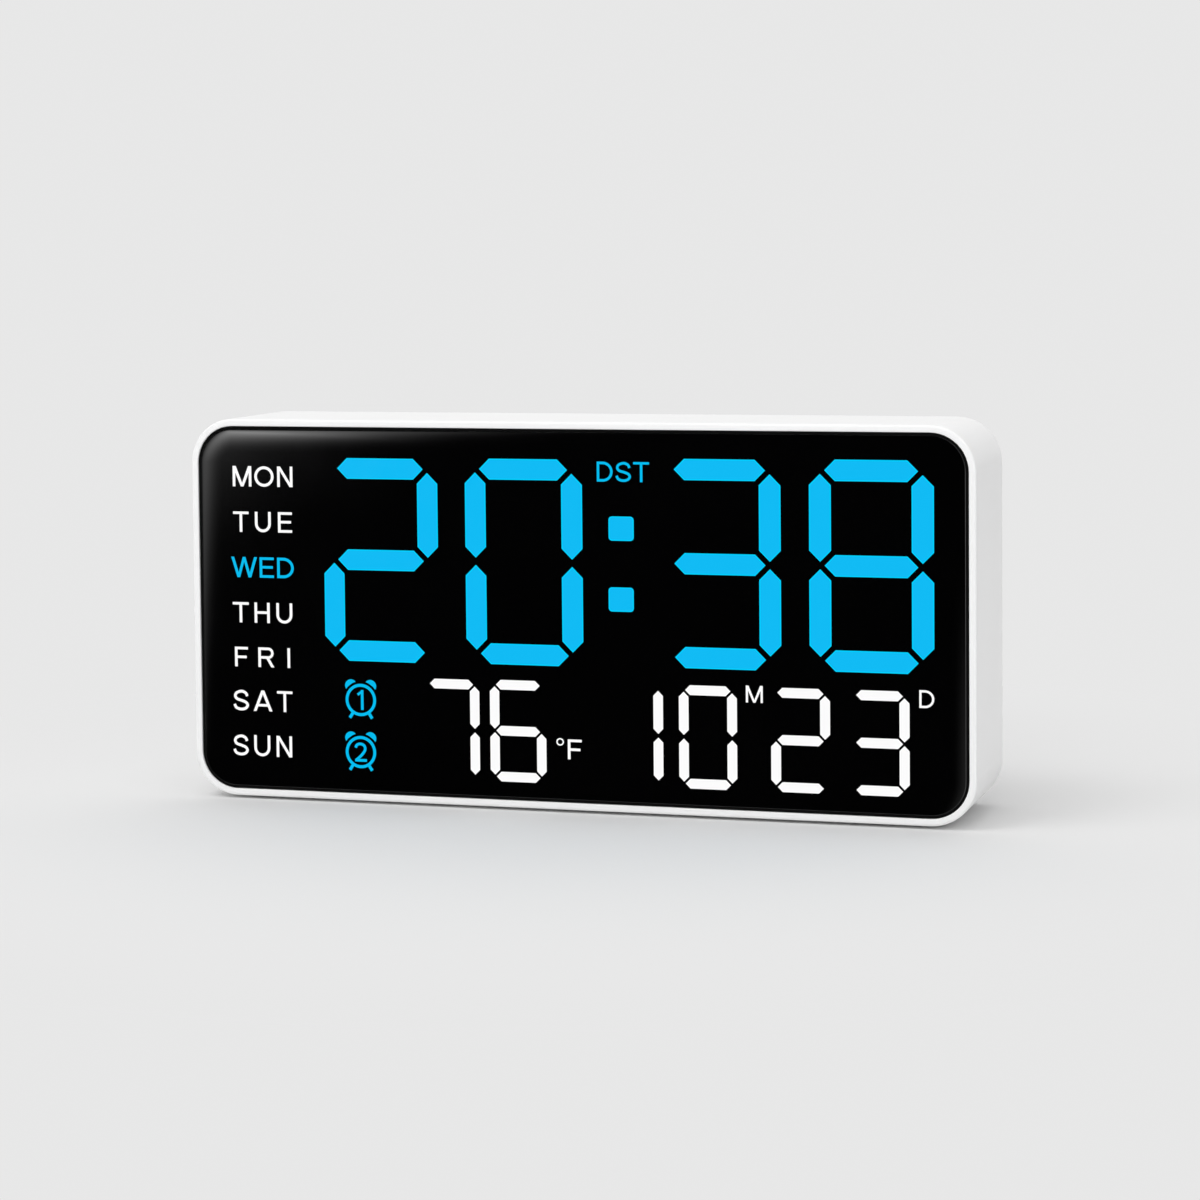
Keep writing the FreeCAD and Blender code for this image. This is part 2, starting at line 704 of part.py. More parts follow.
def group(name, pieces):
    """Separate solids that share one node."""
    made = doc.addObject("Part::Compound", name)
    made.Links = pieces
    made.Label = name
    return made


def from_shape(name, shape):
    """A piece whose outline no single feature fits, from its finished shape."""
    made = doc.addObject("Part::Feature", name)
    made.Shape = shape
    made.Label = name
    return made


def screw(name, x, head_y, z, length, into_back):
    """One cross-headed screw: its shank starts at head_y and runs to the back or the front."""
    shank_y = head_y if into_back else head_y - length
    cap_y = head_y - s.screw_head_height if into_back else head_y
    cross_y = cap_y if into_back else cap_y + s.screw_head_height - s.screw_cross_depth
    shank = rod(f"{name}_shank", x, shank_y, z, s.screw_radius, length)
    cap = rod(f"{name}_head", x, cap_y, z, s.screw_head_radius, s.screw_head_height)
    whole = joined(f"{name}_solid", [shank, cap])
    long_slot = (s.screw_cross_length, s.screw_cross_depth, s.screw_cross_width)
    tall_slot = (s.screw_cross_width, s.screw_cross_depth, s.screw_cross_length)
    across = block(f"{name}_slot_across", x, cross_y, z, *long_slot)
    upright = block(f"{name}_slot_upright", x, cross_y, z, *tall_slot)
    cross = joined(f"{name}_cross", [across, upright])
    return minus(name, whole, cross)


def screws(name, places, head_y, length, into_back):
    """A node of equal screws at (x, z) places."""
    made = [
        screw(f"{name}_{k}", x, head_y, z, length, into_back)
        for k, (x, z) in enumerate(places, start=1)
    ]
    return group(name, made)


# ---------------------------------------------------------------- places that repeat

cover_screw_places = [
    (side * cover_boss_x, middle_z + level * cover_boss_rise)
    for side in (-1, 1)
    for level in (-1, 1)
]
display_screw_places = [
    (side * display_boss_x, middle_z + level * s.display_boss_pitch)
    for side in (-1, 1)
    for level in (-1, 0, 1)
]
main_screw_places = [
    (
        side * (main_board_width / 2 - s.main_boss_inset),
        main_board_z + level * (s.main_board_height / 2 - s.main_boss_inset),
    )
    for side in (-1, 1)
    for level in (-1, 1)
]
keyhole_places = [(side * keyhole_x, keyhole_z) for side in (-1, 1)]
foot_places = [
    (
        side * (s.case_width / 2 - s.foot_inset_x),
        end * (s.case_depth / 2 - s.foot_inset_y),
    )
    for side in (-1, 1)
    for end in (-1, 1)
]
button_places = {
    name: (k - (len(BUTTONS) - 1) / 2) * s.button_pitch for k, name in enumerate(BUTTONS)
}


# ---------------------------------------------------------------- the case


def make_front_case():
    """The white shell: rim, lens seat, ledge, cavity, cover rebate and bosses."""
    case = body("front_case")
    outline = rounded(MIDDLE_X, middle_z, s.case_width, s.case_height, s.case_corner)
    shell = pad(case, "case_block", front_y, back_y, [outline])
    shell = fillet(case, "case_rim_round", shell, s.rim_round, flat_edges_at(front_y))
    shell = fillet(case, "case_back_round", shell, s.back_round, flat_edges_at(back_y))
    lens_seat = rounded(MIDDLE_X, middle_z, opening_width, opening_height, opening_corner)
    seat = pocket(case, "lens_seat", front_y, ledge_front, [lens_seat])
    inside_rim = float(s.case_width / 2 - s.rim_width) + 0.01

    def inner_edge(box):
        flat = near(box.YMin, front_y) and near(box.YMax, front_y)
        return flat and max(abs(box.XMin), abs(box.XMax)) < inside_rim

    fillet(case, "case_lip_round", seat, s.lip_round, inner_edge)
    ledge_opening = rectangle(
        MIDDLE_X,
        middle_z,
        module_width + 2 * s.module_gap,
        module_height + 2 * s.module_gap,
    )
    pocket(case, "ledge_opening", ledge_front, ledge_back, [ledge_opening])
    cavity = rounded(MIDDLE_X, middle_z, cavity_width, cavity_height, cavity_corner)
    pocket(case, "cavity", ledge_back, back_y, [cavity])
    rebate = rounded(
        MIDDLE_X,
        middle_z,
        s.case_width - 2 * s.cover_rim,
        s.case_height - 2 * s.cover_rim,
        s.case_corner - s.cover_rim,
    )
    pocket(case, "cover_rebate", cover_front, back_y, [rebate])
    posts = [circle(x, z, s.cover_boss_radius) for x, z in cover_screw_places]
    pad(case, "cover_bosses", ledge_back, cover_front, posts)
    studs = [circle(x, z, s.display_boss_radius) for x, z in display_screw_places]
    pad(case, "display_bosses", ledge_back, display_board_front, studs)
    bore = s.screw_radius + s.screw_gap
    bores = [circle(x, z, bore) for x, z in cover_screw_places]
    cover_head_y = back_y - s.cover_thickness + s.counterbore_floor
    bore_end = cover_head_y - s.cover_screw_length - s.screw_tip_gap
    pocket(case, "cover_bores", bore_end, cover_front, bores)
    bores = [circle(x, z, bore) for x, z in display_screw_places]
    pocket(case, "display_bores", ledge_back + s.screw_tip_gap, display_board_front, bores)
    recesses = [
        rounded(x, y, s.foot_width, s.foot_length, s.foot_length / 2 - s.foot_gap)
        for x, y in foot_places
    ]
    pocket(case, "foot_recesses", case_bottom, case_bottom + s.foot_sunk, recesses, "Z")


def make_rubber_feet():
    """Four rubber feet, each sunk a little into the case's bottom."""
    feet = body("rubber_feet")
    pads = [
        rounded(
            x,
            y,
            s.foot_width - 2 * s.foot_gap,
            s.foot_length - 2 * s.foot_gap,
            s.foot_length / 2 - 2 * s.foot_gap,
        )
        for x, y in foot_places
    ]
    pad(feet, "foot_pads", 0.0, case_bottom + s.foot_sunk, pads, "Z")


def make_front_lens():
    """The smoked panel, rounded along its front edge."""
    lens = body("front_lens")
    outline = rounded(MIDDLE_X, middle_z, lens_width, lens_height, lens_corner)
    panel = pad(lens, "lens_panel", lens_front, lens_back, [outline])
    fillet(lens, "lens_edge", panel, s.lens_round, flat_edges_at(lens_front))


def make_lens_tape():
    """The frame of tape that holds the lens on its ledge."""
    tape = body("lens_tape")
    outline = rounded(
        MIDDLE_X,
        middle_z,
        lens_width - 2 * s.tape_margin,
        lens_height - 2 * s.tape_margin,
        lens_corner - s.tape_margin,
    )
    pad(tape, "tape_sheet", lens_back, ledge_front, [outline])
    window = rectangle(
        MIDDLE_X,
        middle_z,
        module_width + 2 * s.module_gap + 2 * s.tape_margin,
        module_height + 2 * s.module_gap + 2 * s.tape_margin,
    )
    pocket(tape, "tape_window", lens_back, ledge_front, [window])


# ---------------------------------------------------------------- the display


def digit_segments(x, z, width, thickness, pitch, gap, names="abcdefg"):
    """The segments of one digit as (middle x, middle z, length, upright), by segment letter."""
    side = width / 2 - thickness / 2
    level = 2 * side - gap * math.sqrt(2)
    upright = pitch - gap * math.sqrt(2)
    rows = {
        "a": (x, z + pitch, level, False),
        "g": (x, z, level, False),
        "d": (x, z - pitch, level, False),
        "f": (x - side, z + pitch / 2, upright, True),
        "b": (x + side, z + pitch / 2, upright, True),
        "e": (x - side, z - pitch / 2, upright, True),
        "c": (x + side, z - pitch / 2, upright, True),
    }
    return [rows[name] for name in names]


def segment_prism(row, thickness, start, end):
    """A six-sided segment with 45 degree points, as a solid from start to end along Y."""
    x, z, length, upright = (float(row[0]), float(row[1]), float(row[2]), row[3])
    half, tip = length / 2, float(thickness) / 2
    outline = [(-half, 0), (tip - half, tip), (half - tip, tip)]
    outline += [(-u, -v) for u, v in outline]
    if upright:
        outline = [(v, u) for u, v in outline]
    points = [Vector(x + u, float(start), z + v) for u, v in outline]
    face = Part.Face(Part.makePolygon(points + points[:1]))
    return face.extrude(Vector(0, float(end - start), 0))


def cell_prism(x, z, width, height, start, end):
    """A box-shaped light cell as a solid from start to end along Y."""
    corner = Vector(float(x - width / 2), float(start), float(z - height / 2))
    return Part.makeBox(float(width), float(end - start), float(height), corner)


def display_place(x, z):
    """A place given from the middle of the display, stretched with it."""
    return x * stretch_x, middle_z + z * stretch_z


def time_rows():
    """Every segment of the four time digits."""
    width, pitch = s.time_digit_width * stretch_x, s.time_pitch * stretch_z
    rows = []
    for x in (s.time_x1, s.time_x2, s.time_x3, s.time_x4):
        place = display_place(x, s.time_middle_z)
        rows += digit_segments(*place, width, s.time_segment, pitch, s.time_gap)
    return rows


def calendar_rows():
    """Every segment of the small digits; the month's tens only ever show a one."""
    width, pitch = s.small_digit_width * stretch_x, s.small_pitch * stretch_z
    small = (width, s.small_segment, pitch, s.small_gap)
    whole = (s.degrees_tens_x, s.degrees_units_x, s.month_units_x, s.day_tens_x, s.day_units_x)
    rows = []
    for x in whole:
        rows += digit_segments(*display_place(x, s.small_middle_z), *small)
    month_tens = display_place(s.month_tens_x, s.small_middle_z)
    rows += digit_segments(*month_tens, *small, names="bc")
    return rows


def cell_at(x, z, width, height):
    """A light cell as (x, z, width, height), stretched with the display."""
    return *display_place(x, z), width * stretch_x, height * stretch_z


def colon_cells():
    """The colon's two squares."""
    heights = [s.time_middle_z + level * s.colon_pitch / 2 for level in (-1, 1)]
    return [cell_at(s.colon_x, z, s.colon_size, s.colon_size) for z in heights]


def legend_cells():
    """The cells behind the weekdays, the unit letters and the alarm icons."""
    tall = s.legend_cell_height
    weekday_heights = [s.weekday_top_z - k * s.weekday_pitch for k in range(WEEKDAYS)]
    cells = [cell_at(s.weekday_x, z, s.weekday_cell_width, tall) for z in weekday_heights]
    cells.append(cell_at(s.dst_x, s.dst_z, s.dst_cell_width, tall))
    cells.append(cell_at(s.unit_x, s.unit_z, s.unit_cell_width, tall))
    for x in (s.month_letter_x, s.day_letter_x):
        cells.append(cell_at(x, s.letter_z, s.letter_cell, s.letter_cell))
    for level in (-1, 1):
        z = s.alarm_z + level * s.alarm_pitch / 2
        cells.append(cell_at(s.alarm_x, z, s.alarm_cell_width, s.alarm_cell_height))
    return cells


def make_segment_reflector():
    """The white block whose cells shape the light into segments and legends."""
    block_shape = cell_prism(
        MIDDLE_X,
        middle_z,
        module_width,
        module_height,
        module_front,
        display_board_front,
    )
    ends = (module_front, display_board_front)
    cuts = [segment_prism(row, s.time_segment, *ends) for row in time_rows()]
    cuts += [segment_prism(row, s.small_segment, *ends) for row in calendar_rows()]
    cuts += [cell_prism(*cell, *ends) for cell in colon_cells() + legend_cells()]
    from_shape("segment_reflector", block_shape.cut(cuts))


def led_at(x, z, turned=False):
    """One diode on the display board, lying along X, or along Z when turned."""
    width, height = (s.led_width, s.led_length) if turned else (s.led_length, s.led_width)
    return cell_prism(x, z, width, height, display_board_front - s.led_height, display_board_front)


def make_leds():
    """The diodes: two to a time segment, one to a calendar segment, two to a wide legend."""
    time = []
    for x, z, length, upright in time_rows():
        for side in (-1, 1):
            step = side * length / 5
            if upright:
                time.append(led_at(x, z + step, turned=True))
            else:
                time.append(led_at(x + step, z))
    time += [led_at(x, z) for x, z, _, _ in colon_cells()]
    from_shape("time_leds", Part.makeCompound(time))
    calendar = [led_at(x, z, turned=upright) for x, z, _, upright in calendar_rows()]
    from_shape("calendar_leds", Part.makeCompound(calendar))
    legends = []
    for x, z, width, _ in legend_cells():
        if float(width) > float(s.alarm_cell_width * stretch_x):
            legends += [led_at(x + side * width / 4, z) for side in (-1, 1)]
        else:
            legends.append(led_at(x, z))
    from_shape("legend_leds", Part.makeCompound(legends))


def make_diffuser_film():
    """The printed film between the reflector and the lens."""
    film = body("diffuser_film")
    outline = rectangle(MIDDLE_X, middle_z, module_width, module_height)
    pad(film, "film_sheet", film_front, module_front, [outline])


def make_display_board():
    """The board that closes the reflector's back and carries the diodes."""
    board = body("display_board")
    outline = rounded(
        MIDDLE_X,
        middle_z,
        cavity_width - 2 * s.board_gap,
        cavity_height - 2 * s.board_gap,
        cavity_corner - s.board_gap,
    )
    pad(board, "display_board_sheet", display_board_front, display_board_back, [outline])
    notches = [
        circle(x, z, s.cover_boss_radius + s.board_gap) for x, z in cover_screw_places
    ]
    pocket(board, "boss_notches", display_board_front, display_board_back, notches)
    hole = s.screw_radius + s.screw_hole_gap
    holes = [circle(x, z, hole) for x, z in display_screw_places]
    pocket(board, "screw_holes", display_board_front, display_board_back, holes)


def chip_shape(x, z, size, height, foot_y, towards_back):
    """A square chip on a board, with flat leads on all four sides."""
    sign = 1 if towards_back else -1
    low = foot_y if towards_back else foot_y - height
    shape = cell_prism(x, z, size, size, low, low + height)
    lead_low = foot_y if towards_back else foot_y - s.lead_thickness
    lead_high = lead_low + s.lead_thickness
    span = size + 2 * s.lead_reach
    leads = []
    for k in range(LEADS_PER_SIDE):
        step = (k - (LEADS_PER_SIDE - 1) / 2) * s.lead_pitch
        leads.append(cell_prism(x + step, z, s.lead_width, span, lead_low, lead_high))
        leads.append(cell_prism(x, z + step, span, s.lead_width, lead_low, lead_high))
    return shape.fuse(leads).removeSplitter()


def make_chips():
    """The display's driver chips and the microcontroller."""
    drivers = [
        chip_shape(
            side * s.driver_x,
            driver_z,
            s.driver_size,
            s.driver_height,
            display_board_back,
            True,
        )
        for side in (-1, 1)
    ]
    from_shape("driver_chips", Part.makeCompound(drivers))
    chip = chip_shape(s.mcu_x, mcu_z, s.mcu_size, s.mcu_height, main_board_front, False)
    from_shape("microcontroller", chip)


# ---------------------------------------------------------------- the main board


def make_main_board():
    """The strip of board behind the top of the display."""
    board = body("main_board")
    outline = rectangle(MIDDLE_X, main_board_z, main_board_width, s.main_board_height)
    pad(board, "main_board_sheet", main_board_front, main_board_back, [outline])
    hole = s.screw_radius + s.screw_hole_gap
    holes = [circle(x, z, hole) for x, z in main_screw_places]
    pocket(board, "main_screw_holes", main_board_front, main_board_back, holes)


def make_small_parts():
    """Crystal, capacitors, buzzer and temperature sensor."""
    crystal = body("crystal")
    can = rounded(
        s.crystal_x,
        crystal_z,
        s.crystal_length,
        s.crystal_width,
        s.crystal_width / 2 - s.lead_thickness,
    )
    pad(crystal, "crystal_can", main_board_front - s.crystal_height, main_board_front, [can])

    cans = [
        rod(
            f"capacitor_{k}",
            s.capacitor_x + side * s.capacitor_pitch / 2,
            main_board_back,
            capacitor_z,
            s.capacitor_radius,
            s.capacitor_height,
        )
        for k, side in enumerate((-1, 1), start=1)
    ]
    group("capacitors", cans)

    buzzer = body("buzzer")
    buzzer_back = main_board_back + s.buzzer_height
    drum = circle(s.buzzer_x, buzzer_z, s.buzzer_radius)
    pad(buzzer, "buzzer_drum", main_board_back, buzzer_back, [drum])
    port = circle(s.buzzer_x, buzzer_z, s.buzzer_port)
    pocket(buzzer, "buzzer_sound_port", buzzer_back - s.buzzer_port, buzzer_back, [port])

    sensor = body("temperature_sensor")
    lead_mid = main_board_back + s.sensor_lead / 2
    sensor_front = lead_mid - s.sensor_depth / 2
    bead = rounded(
        sensor_x, sensor_z, s.sensor_size, s.sensor_size, s.sensor_size / 4
    )
    pad(sensor, "sensor_bead", sensor_front, sensor_front + s.sensor_depth, [bead])
    leads_low = sensor_z
    leads_high = main_board_z - s.main_board_height / 2 + s.sensor_lead_lap
    leads = [
        rectangle(
            sensor_x + k * s.sensor_lead_pitch,
            (leads_low + leads_high) / 2,
            s.sensor_lead,
            leads_high - leads_low,
        )
        for k in (-1, 0, 1)
    ]
    pad(sensor, "sensor_leads", main_board_back, main_board_back + s.sensor_lead, leads)


def make_board_link():
    """The pin strip and socket strip that join the two boards."""
    socket = body("link_socket")
    socket_back = display_board_back + s.link_socket_height
    strip = rectangle(MIDDLE_X, link_z, link_length, s.link_width)
    pad(socket, "socket_strip", display_board_back, socket_back, [strip])
    slot_width = s.link_pin + 2 * s.link_pin_gap
    slot = rectangle(MIDDLE_X, link_z, link_length - s.link_width / 2, slot_width)
    slot_front = socket_back - s.link_pin_grip - s.link_pin_gap
    pocket(socket, "socket_slot", slot_front, socket_back, [slot])

    header = body("link_header")
    header_front = main_board_front - s.link_header_height
    pad(header, "header_strip", header_front, main_board_front, [strip])
    first_pin = -(LINK_PINS - 1) / 2 * s.link_pin_pitch
    pin = rectangle(first_pin, link_z, s.link_pin, s.link_pin)
    pin = pad(header, "header_pin", socket_back - s.link_pin_grip, header_front, [pin])
    repeat(pin, "header_pins", LINK_PINS, s.link_pin_pitch)


def make_power_socket():
    """The upright power socket: a metal shell round an insulator with its tongue."""
    outline = rounded(
        socket_x, socket_z, s.socket_width, s.socket_height, s.socket_height / 2 - s.socket_wall / 2
    )
    shell = body("power_socket_shell")
    pad(shell, "socket_shell", main_board_back, socket_mouth, [outline])
    inner_width = s.socket_width - 2 * s.socket_wall
    inner_height = s.socket_height - 2 * s.socket_wall
    inner = rounded(
        socket_x, socket_z, inner_width, inner_height, s.socket_height / 2 - 1.5 * s.socket_wall
    )
    pocket(shell, "socket_mouth", main_board_back, socket_mouth, [inner])

    tongue = body("power_socket_tongue")
    plug = rounded(
        socket_x,
        socket_z,
        inner_width - 2 * s.tongue_gap,
        inner_height - 2 * s.tongue_gap,
        s.socket_height / 2 - 1.5 * s.socket_wall - s.tongue_gap,
    )
    pad(tongue, "tongue_foot", main_board_back, main_board_back + s.tongue_base, [plug])
    blade = rectangle(socket_x, socket_z, s.tongue_width, s.tongue_thickness)
    blade_start = main_board_back + s.tongue_base
    pad(tongue, "tongue_blade", blade_start, socket_mouth - s.tongue_recess, [blade])


def make_backup_cell():
    """The coin cell in its holder, with a contact under it and a clip over it."""
    holder = body("cell_holder")
    pot_radius = s.cell_radius + s.cell_gap + s.holder_wall
    pot = circle(cell_x, cell_z, pot_radius)
    pad(holder, "holder_pot", main_board_back, cell_back, [pot])
    bowl = circle(cell_x, cell_z, s.cell_radius + s.cell_gap)
    pocket(holder, "holder_bowl", main_board_back + s.holder_floor, cell_back, [bowl])

    contact = body("cell_contact")
    disc = circle(cell_x, cell_z, s.contact_radius)
    pad(contact, "contact_disc", main_board_back + s.holder_floor, cell_front, [disc])

    cell = body("coin_cell")
    coin = circle(cell_x, cell_z, s.cell_radius)
    blank = pad(cell, "cell_can", cell_front, cell_back, [coin])
    fillet(cell, "cell_rim", blank, s.cell_edge, flat_edges_at(cell_back))

    clip = body("cell_clip")
    outside = cell_z + pot_radius + s.contact_thickness
    inside = outside - s.contact_thickness - s.holder_wall - s.clip_reach
    tab = rectangle(cell_x, (outside + inside) / 2, s.clip_width, outside - inside)
    pad(clip, "clip_tab", cell_back, clip_back, [tab])
    leg = rectangle(
        cell_x, outside - s.contact_thickness / 2, s.clip_width, s.contact_thickness
    )
    pad(clip, "clip_leg", main_board_back, cell_back, [leg])


def make_switches():
    """The six switch housings, each bored for its plunger."""
    switch_back = main_board_back + s.switch_height
    switches = body("tact_switches")
    blocks = [
        rectangle(x, button_z, s.switch_size, s.switch_size) for x in button_places.values()
    ]
    pad(switches, "switch_housings", main_board_back, switch_back, blocks)
    bores = [
        circle(x, button_z, s.plunger_radius + s.plunger_gap)
        for x in button_places.values()
    ]
    pocket(switches, "switch_bores", main_board_back + s.switch_base, switch_back, bores)


def make_buttons():
    """Each button is a cap, a flange behind the cover and a stem; its plunger meets the stem."""
    switch_back = main_board_back + s.switch_height
    plunger_front = switch_back - s.plunger_grip
    flange_back = tray_inside - s.button_lift
    flange_front = flange_back - s.button_flange
    cap_back = tray_floor + s.button_proud
    plunger_back = (switch_back + flange_front) / 2
    for name, x in button_places.items():
        button = body(f"{name}_button")
        flange = circle(x, button_z, s.button_radius + s.button_flange_lip)
        pad(button, f"{name}_flange", flange_front, flange_back, [flange])
        stem = circle(x, button_z, s.button_stem_radius)
        pad(button, f"{name}_stem", plunger_back, flange_front, [stem])
        cap = circle(x, button_z, s.button_radius)
        top = pad(button, f"{name}_cap", flange_back, cap_back, [cap])
        fillet(button, f"{name}_cap_edge", top, s.button_edge, flat_edges_at(cap_back))
        plunger = body(f"{name}_plunger")
        post = circle(x, button_z, s.plunger_radius)
        pad(plunger, f"{name}_post", plunger_front, plunger_back, [post])


# ---------------------------------------------------------------- the rear cover


def well(cover, name, u, v, width, height, corner, floor_y):
    """Thickens the cover behind a well so that its walls and floor have material."""
    wall = s.well_floor
    outline = rounded(u, v, width + 2 * wall, height + 2 * wall, corner + wall)
    pad(cover, f"{name}_walls", floor_y - wall, cover_front, [outline])


def make_rear_cover():
    """The back of the clock: tray, keyholes, plug well, hatch, stand recess, vents and bosses."""
    cover = body("rear_cover")
    outline = rounded(
        MIDDLE_X,
        middle_z,
        s.case_width - 2 * s.cover_rim - 2 * s.cover_gap,
        s.case_height - 2 * s.cover_rim - 2 * s.cover_gap,
        s.case_corner - s.cover_rim - s.cover_gap,
    )
    pad(cover, "cover_plate", cover_front, back_y, [outline])

    # material behind the wells
    tray_width = (len(BUTTONS) - 1) * s.button_pitch + 2 * s.tray_margin
    tray = rounded(MIDDLE_X, button_z, tray_width, s.tray_height, s.tray_corner)
    tray_back = rounded(
        MIDDLE_X,
        button_z,
        tray_width + 2 * s.well_floor,
        s.tray_height + 2 * s.well_floor,
        s.tray_corner + s.well_floor,
    )
    pad(cover, "tray_walls", tray_inside, cover_front, [tray_back])
    plug_floor = back_y - s.plug_well_depth
    plug_well = (socket_x, socket_z, s.plug_well_width, s.plug_well_height, s.plug_well_corner)
    well(cover, "plug_well", *plug_well, plug_floor)
    door_pocket = (
        cell_x,
        door_z,
        s.door_width + 2 * s.door_gap,
        s.door_height + 2 * s.door_gap,
        s.door_corner + s.door_gap,
    )
    well(cover, "door_pocket", *door_pocket, door_seat)
    recess_middle = (recess_bottom + recess_top) / 2
    recess_corner = s.leg_corner + s.leg_gap
    recess_height = recess_top - recess_bottom
    recess = (MIDDLE_X, recess_middle, 2 * recess_half_width, recess_height, recess_corner)
    well(cover, "leg_recess", *recess, leg_floor)
    barrel_reach = s.leg_thickness + s.leg_gap
    barrel_width = 2 * recess_half_width + 2 * s.ear_thickness
    barrel_block = rectangle(
        MIDDLE_X, hinge_z, barrel_width, 2 * barrel_reach + 2 * s.well_floor
    )
    pad(cover, "hinge_block", barrel_floor - s.well_floor, leg_floor - s.well_floor, [barrel_block])
    ears = [
        rectangle(
            side * (recess_half_width + s.ear_thickness / 2),
            hinge_z,
            s.ear_thickness,
            2 * barrel_reach + 2 * s.well_floor,
        )
        for side in (-1, 1)
    ]
    pad(cover, "hinge_ears", leg_floor - s.well_floor, cover_front, ears)
    notch_floor = back_y - s.notch_depth
    notch_side = recess_half_width + s.notch_width
    notch = (
        (notch_side + recess_half_width - s.notch_under) / 2,
        s.notch_z,
        s.notch_width + s.notch_under,
        s.notch_height,
        s.notch_corner,
    )
    well(cover, "finger_notch", *notch, notch_floor)
    collar_side = s.hatch_size + 2 * s.hatch_collar
    collar = rounded(
        cell_x, cell_z, collar_side, collar_side, s.hatch_corner + s.hatch_collar
    )
    pad(cover, "hatch_collar", clip_back + s.hatch_collar_gap, door_seat - s.well_floor, [collar])
    posts = [circle(x, z, s.main_boss_radius) for x, z in main_screw_places]
    pad(cover, "main_board_bosses", main_board_back, cover_front, posts)
    door_boss_front = door_seat - s.door_screw_length - s.screw_tip_gap - s.well_floor
    door_boss = circle(cell_x, door_screw_z, s.main_boss_radius)
    pad(cover, "door_boss", door_boss_front, door_seat - s.well_floor, [door_boss])

    # the wells themselves
    pocket(cover, "button_tray", tray_floor, back_y, [tray])
    pocket(cover, "plug_well", plug_floor, back_y, [rounded(*plug_well)])
    pocket(cover, "door_pocket", door_seat, back_y, [rounded(*door_pocket)])
    pocket(cover, "leg_recess", leg_floor, back_y, [rounded(*recess)])
    barrel_room = rectangle(MIDDLE_X, hinge_z, 2 * recess_half_width, 2 * barrel_reach)
    pocket(cover, "barrel_room", barrel_floor, back_y, [barrel_room])
    pocket(cover, "finger_notch", notch_floor, back_y, [rounded(*notch)])

    # holes right through
    caps = [circle(x, button_z, s.button_radius + s.button_gap) for x in button_places.values()]
    pocket(cover, "button_holes", tray_inside, tray_floor, caps)
    socket_hole = rounded(
        socket_x,
        socket_z,
        s.socket_width + 2 * s.socket_gap,
        s.socket_height + 2 * s.socket_gap,
        s.socket_height / 2,
    )
    pocket(cover, "socket_hole", plug_floor - s.well_floor, plug_floor, [socket_hole])
    hatch = rounded(cell_x, cell_z, s.hatch_size, s.hatch_size, s.hatch_corner)
    pocket(cover, "hatch", clip_back + s.hatch_collar_gap, door_seat, [hatch])
    rounds = [circle(x, z, s.keyhole_radius) for x, z in keyhole_places]
    pocket(cover, "keyhole_rounds", cover_front, back_y, rounds)
    slots = [
        rectangle(x, z + s.keyhole_rise / 2, s.keyhole_slot, s.keyhole_rise)
        for x, z in keyhole_places
    ]
    pocket(cover, "keyhole_slots", cover_front, back_y, slots)
    ends = [circle(x, z + s.keyhole_rise, s.keyhole_slot / 2) for x, z in keyhole_places]
    pocket(cover, "keyhole_ends", cover_front, back_y, ends)
    for name, side in (("left_vent", -1), ("right_vent", 1)):
        first_x = side * vent_x - (VENT_COUNT - 1) / 2 * s.vent_pitch
        slot = rounded(first_x, vent_z, s.vent_width, s.vent_height, s.vent_corner)
        slot = pocket(cover, name, cover_front, back_y, [slot])
        repeat(slot, f"{name}s", VENT_COUNT, s.vent_pitch)
    sound_holes = [circle(s.buzzer_x, buzzer_z, s.sound_hole)]
    for k in range(SOUND_HOLE_COUNT):
        turn = 2 * math.pi * k / SOUND_HOLE_COUNT
        hole_x = s.buzzer_x + s.sound_ring * math.cos(turn)
        hole_z = buzzer_z + s.sound_ring * math.sin(turn)
        sound_holes.append(circle(hole_x, hole_z, s.sound_hole))
    pocket(cover, "sound_holes", cover_front, back_y, sound_holes)

    # bores for the pin and the screws
    ear_end = recess_half_width + s.ear_thickness
    pin_bore = circle(hinge_y, hinge_z, s.pin_radius + s.pin_ear_gap)
    pocket(cover, "pin_bore", -ear_end, ear_end, [pin_bore], "X")
    shank = s.screw_radius + s.screw_hole_gap
    holes = [circle(x, z, shank) for x, z in cover_screw_places]
    pocket(cover, "cover_screw_holes", cover_front, back_y, holes)
    sinks = [
        circle(x, z, s.screw_head_radius + s.screw_head_gap) for x, z in cover_screw_places
    ]
    pocket(cover, "counterbores", cover_front + s.counterbore_floor, back_y, sinks)
    bore = s.screw_radius + s.screw_gap
    bores = [circle(x, z, bore) for x, z in main_screw_places]
    bore_end = main_board_front + s.board_screw_length + s.screw_tip_gap
    pocket(cover, "main_board_bores", main_board_back, bore_end, bores)
    door_bore = circle(cell_x, door_screw_z, bore)
    pocket(cover, "door_bore", door_boss_front + s.well_floor, door_seat, [door_bore])


def make_battery_door():
    """The lid over the coin cell, with a sunk screw at its lower edge."""
    door = body("battery_door")
    door_back = door_seat + s.door_thickness
    outline = rounded(cell_x, door_z, s.door_width, s.door_height, s.door_corner)
    pad(door, "door_plate", door_seat, door_back, [outline])
    hole = circle(cell_x, door_screw_z, s.screw_radius + s.screw_hole_gap)
    pocket(door, "door_screw_hole", door_seat, door_back, [hole])
    sink = circle(cell_x, door_screw_z, s.screw_head_radius + s.screw_head_gap)
    pocket(door, "door_counterbore", door_back - s.screw_head_height, door_back, [sink])


# ---------------------------------------------------------------- the stand


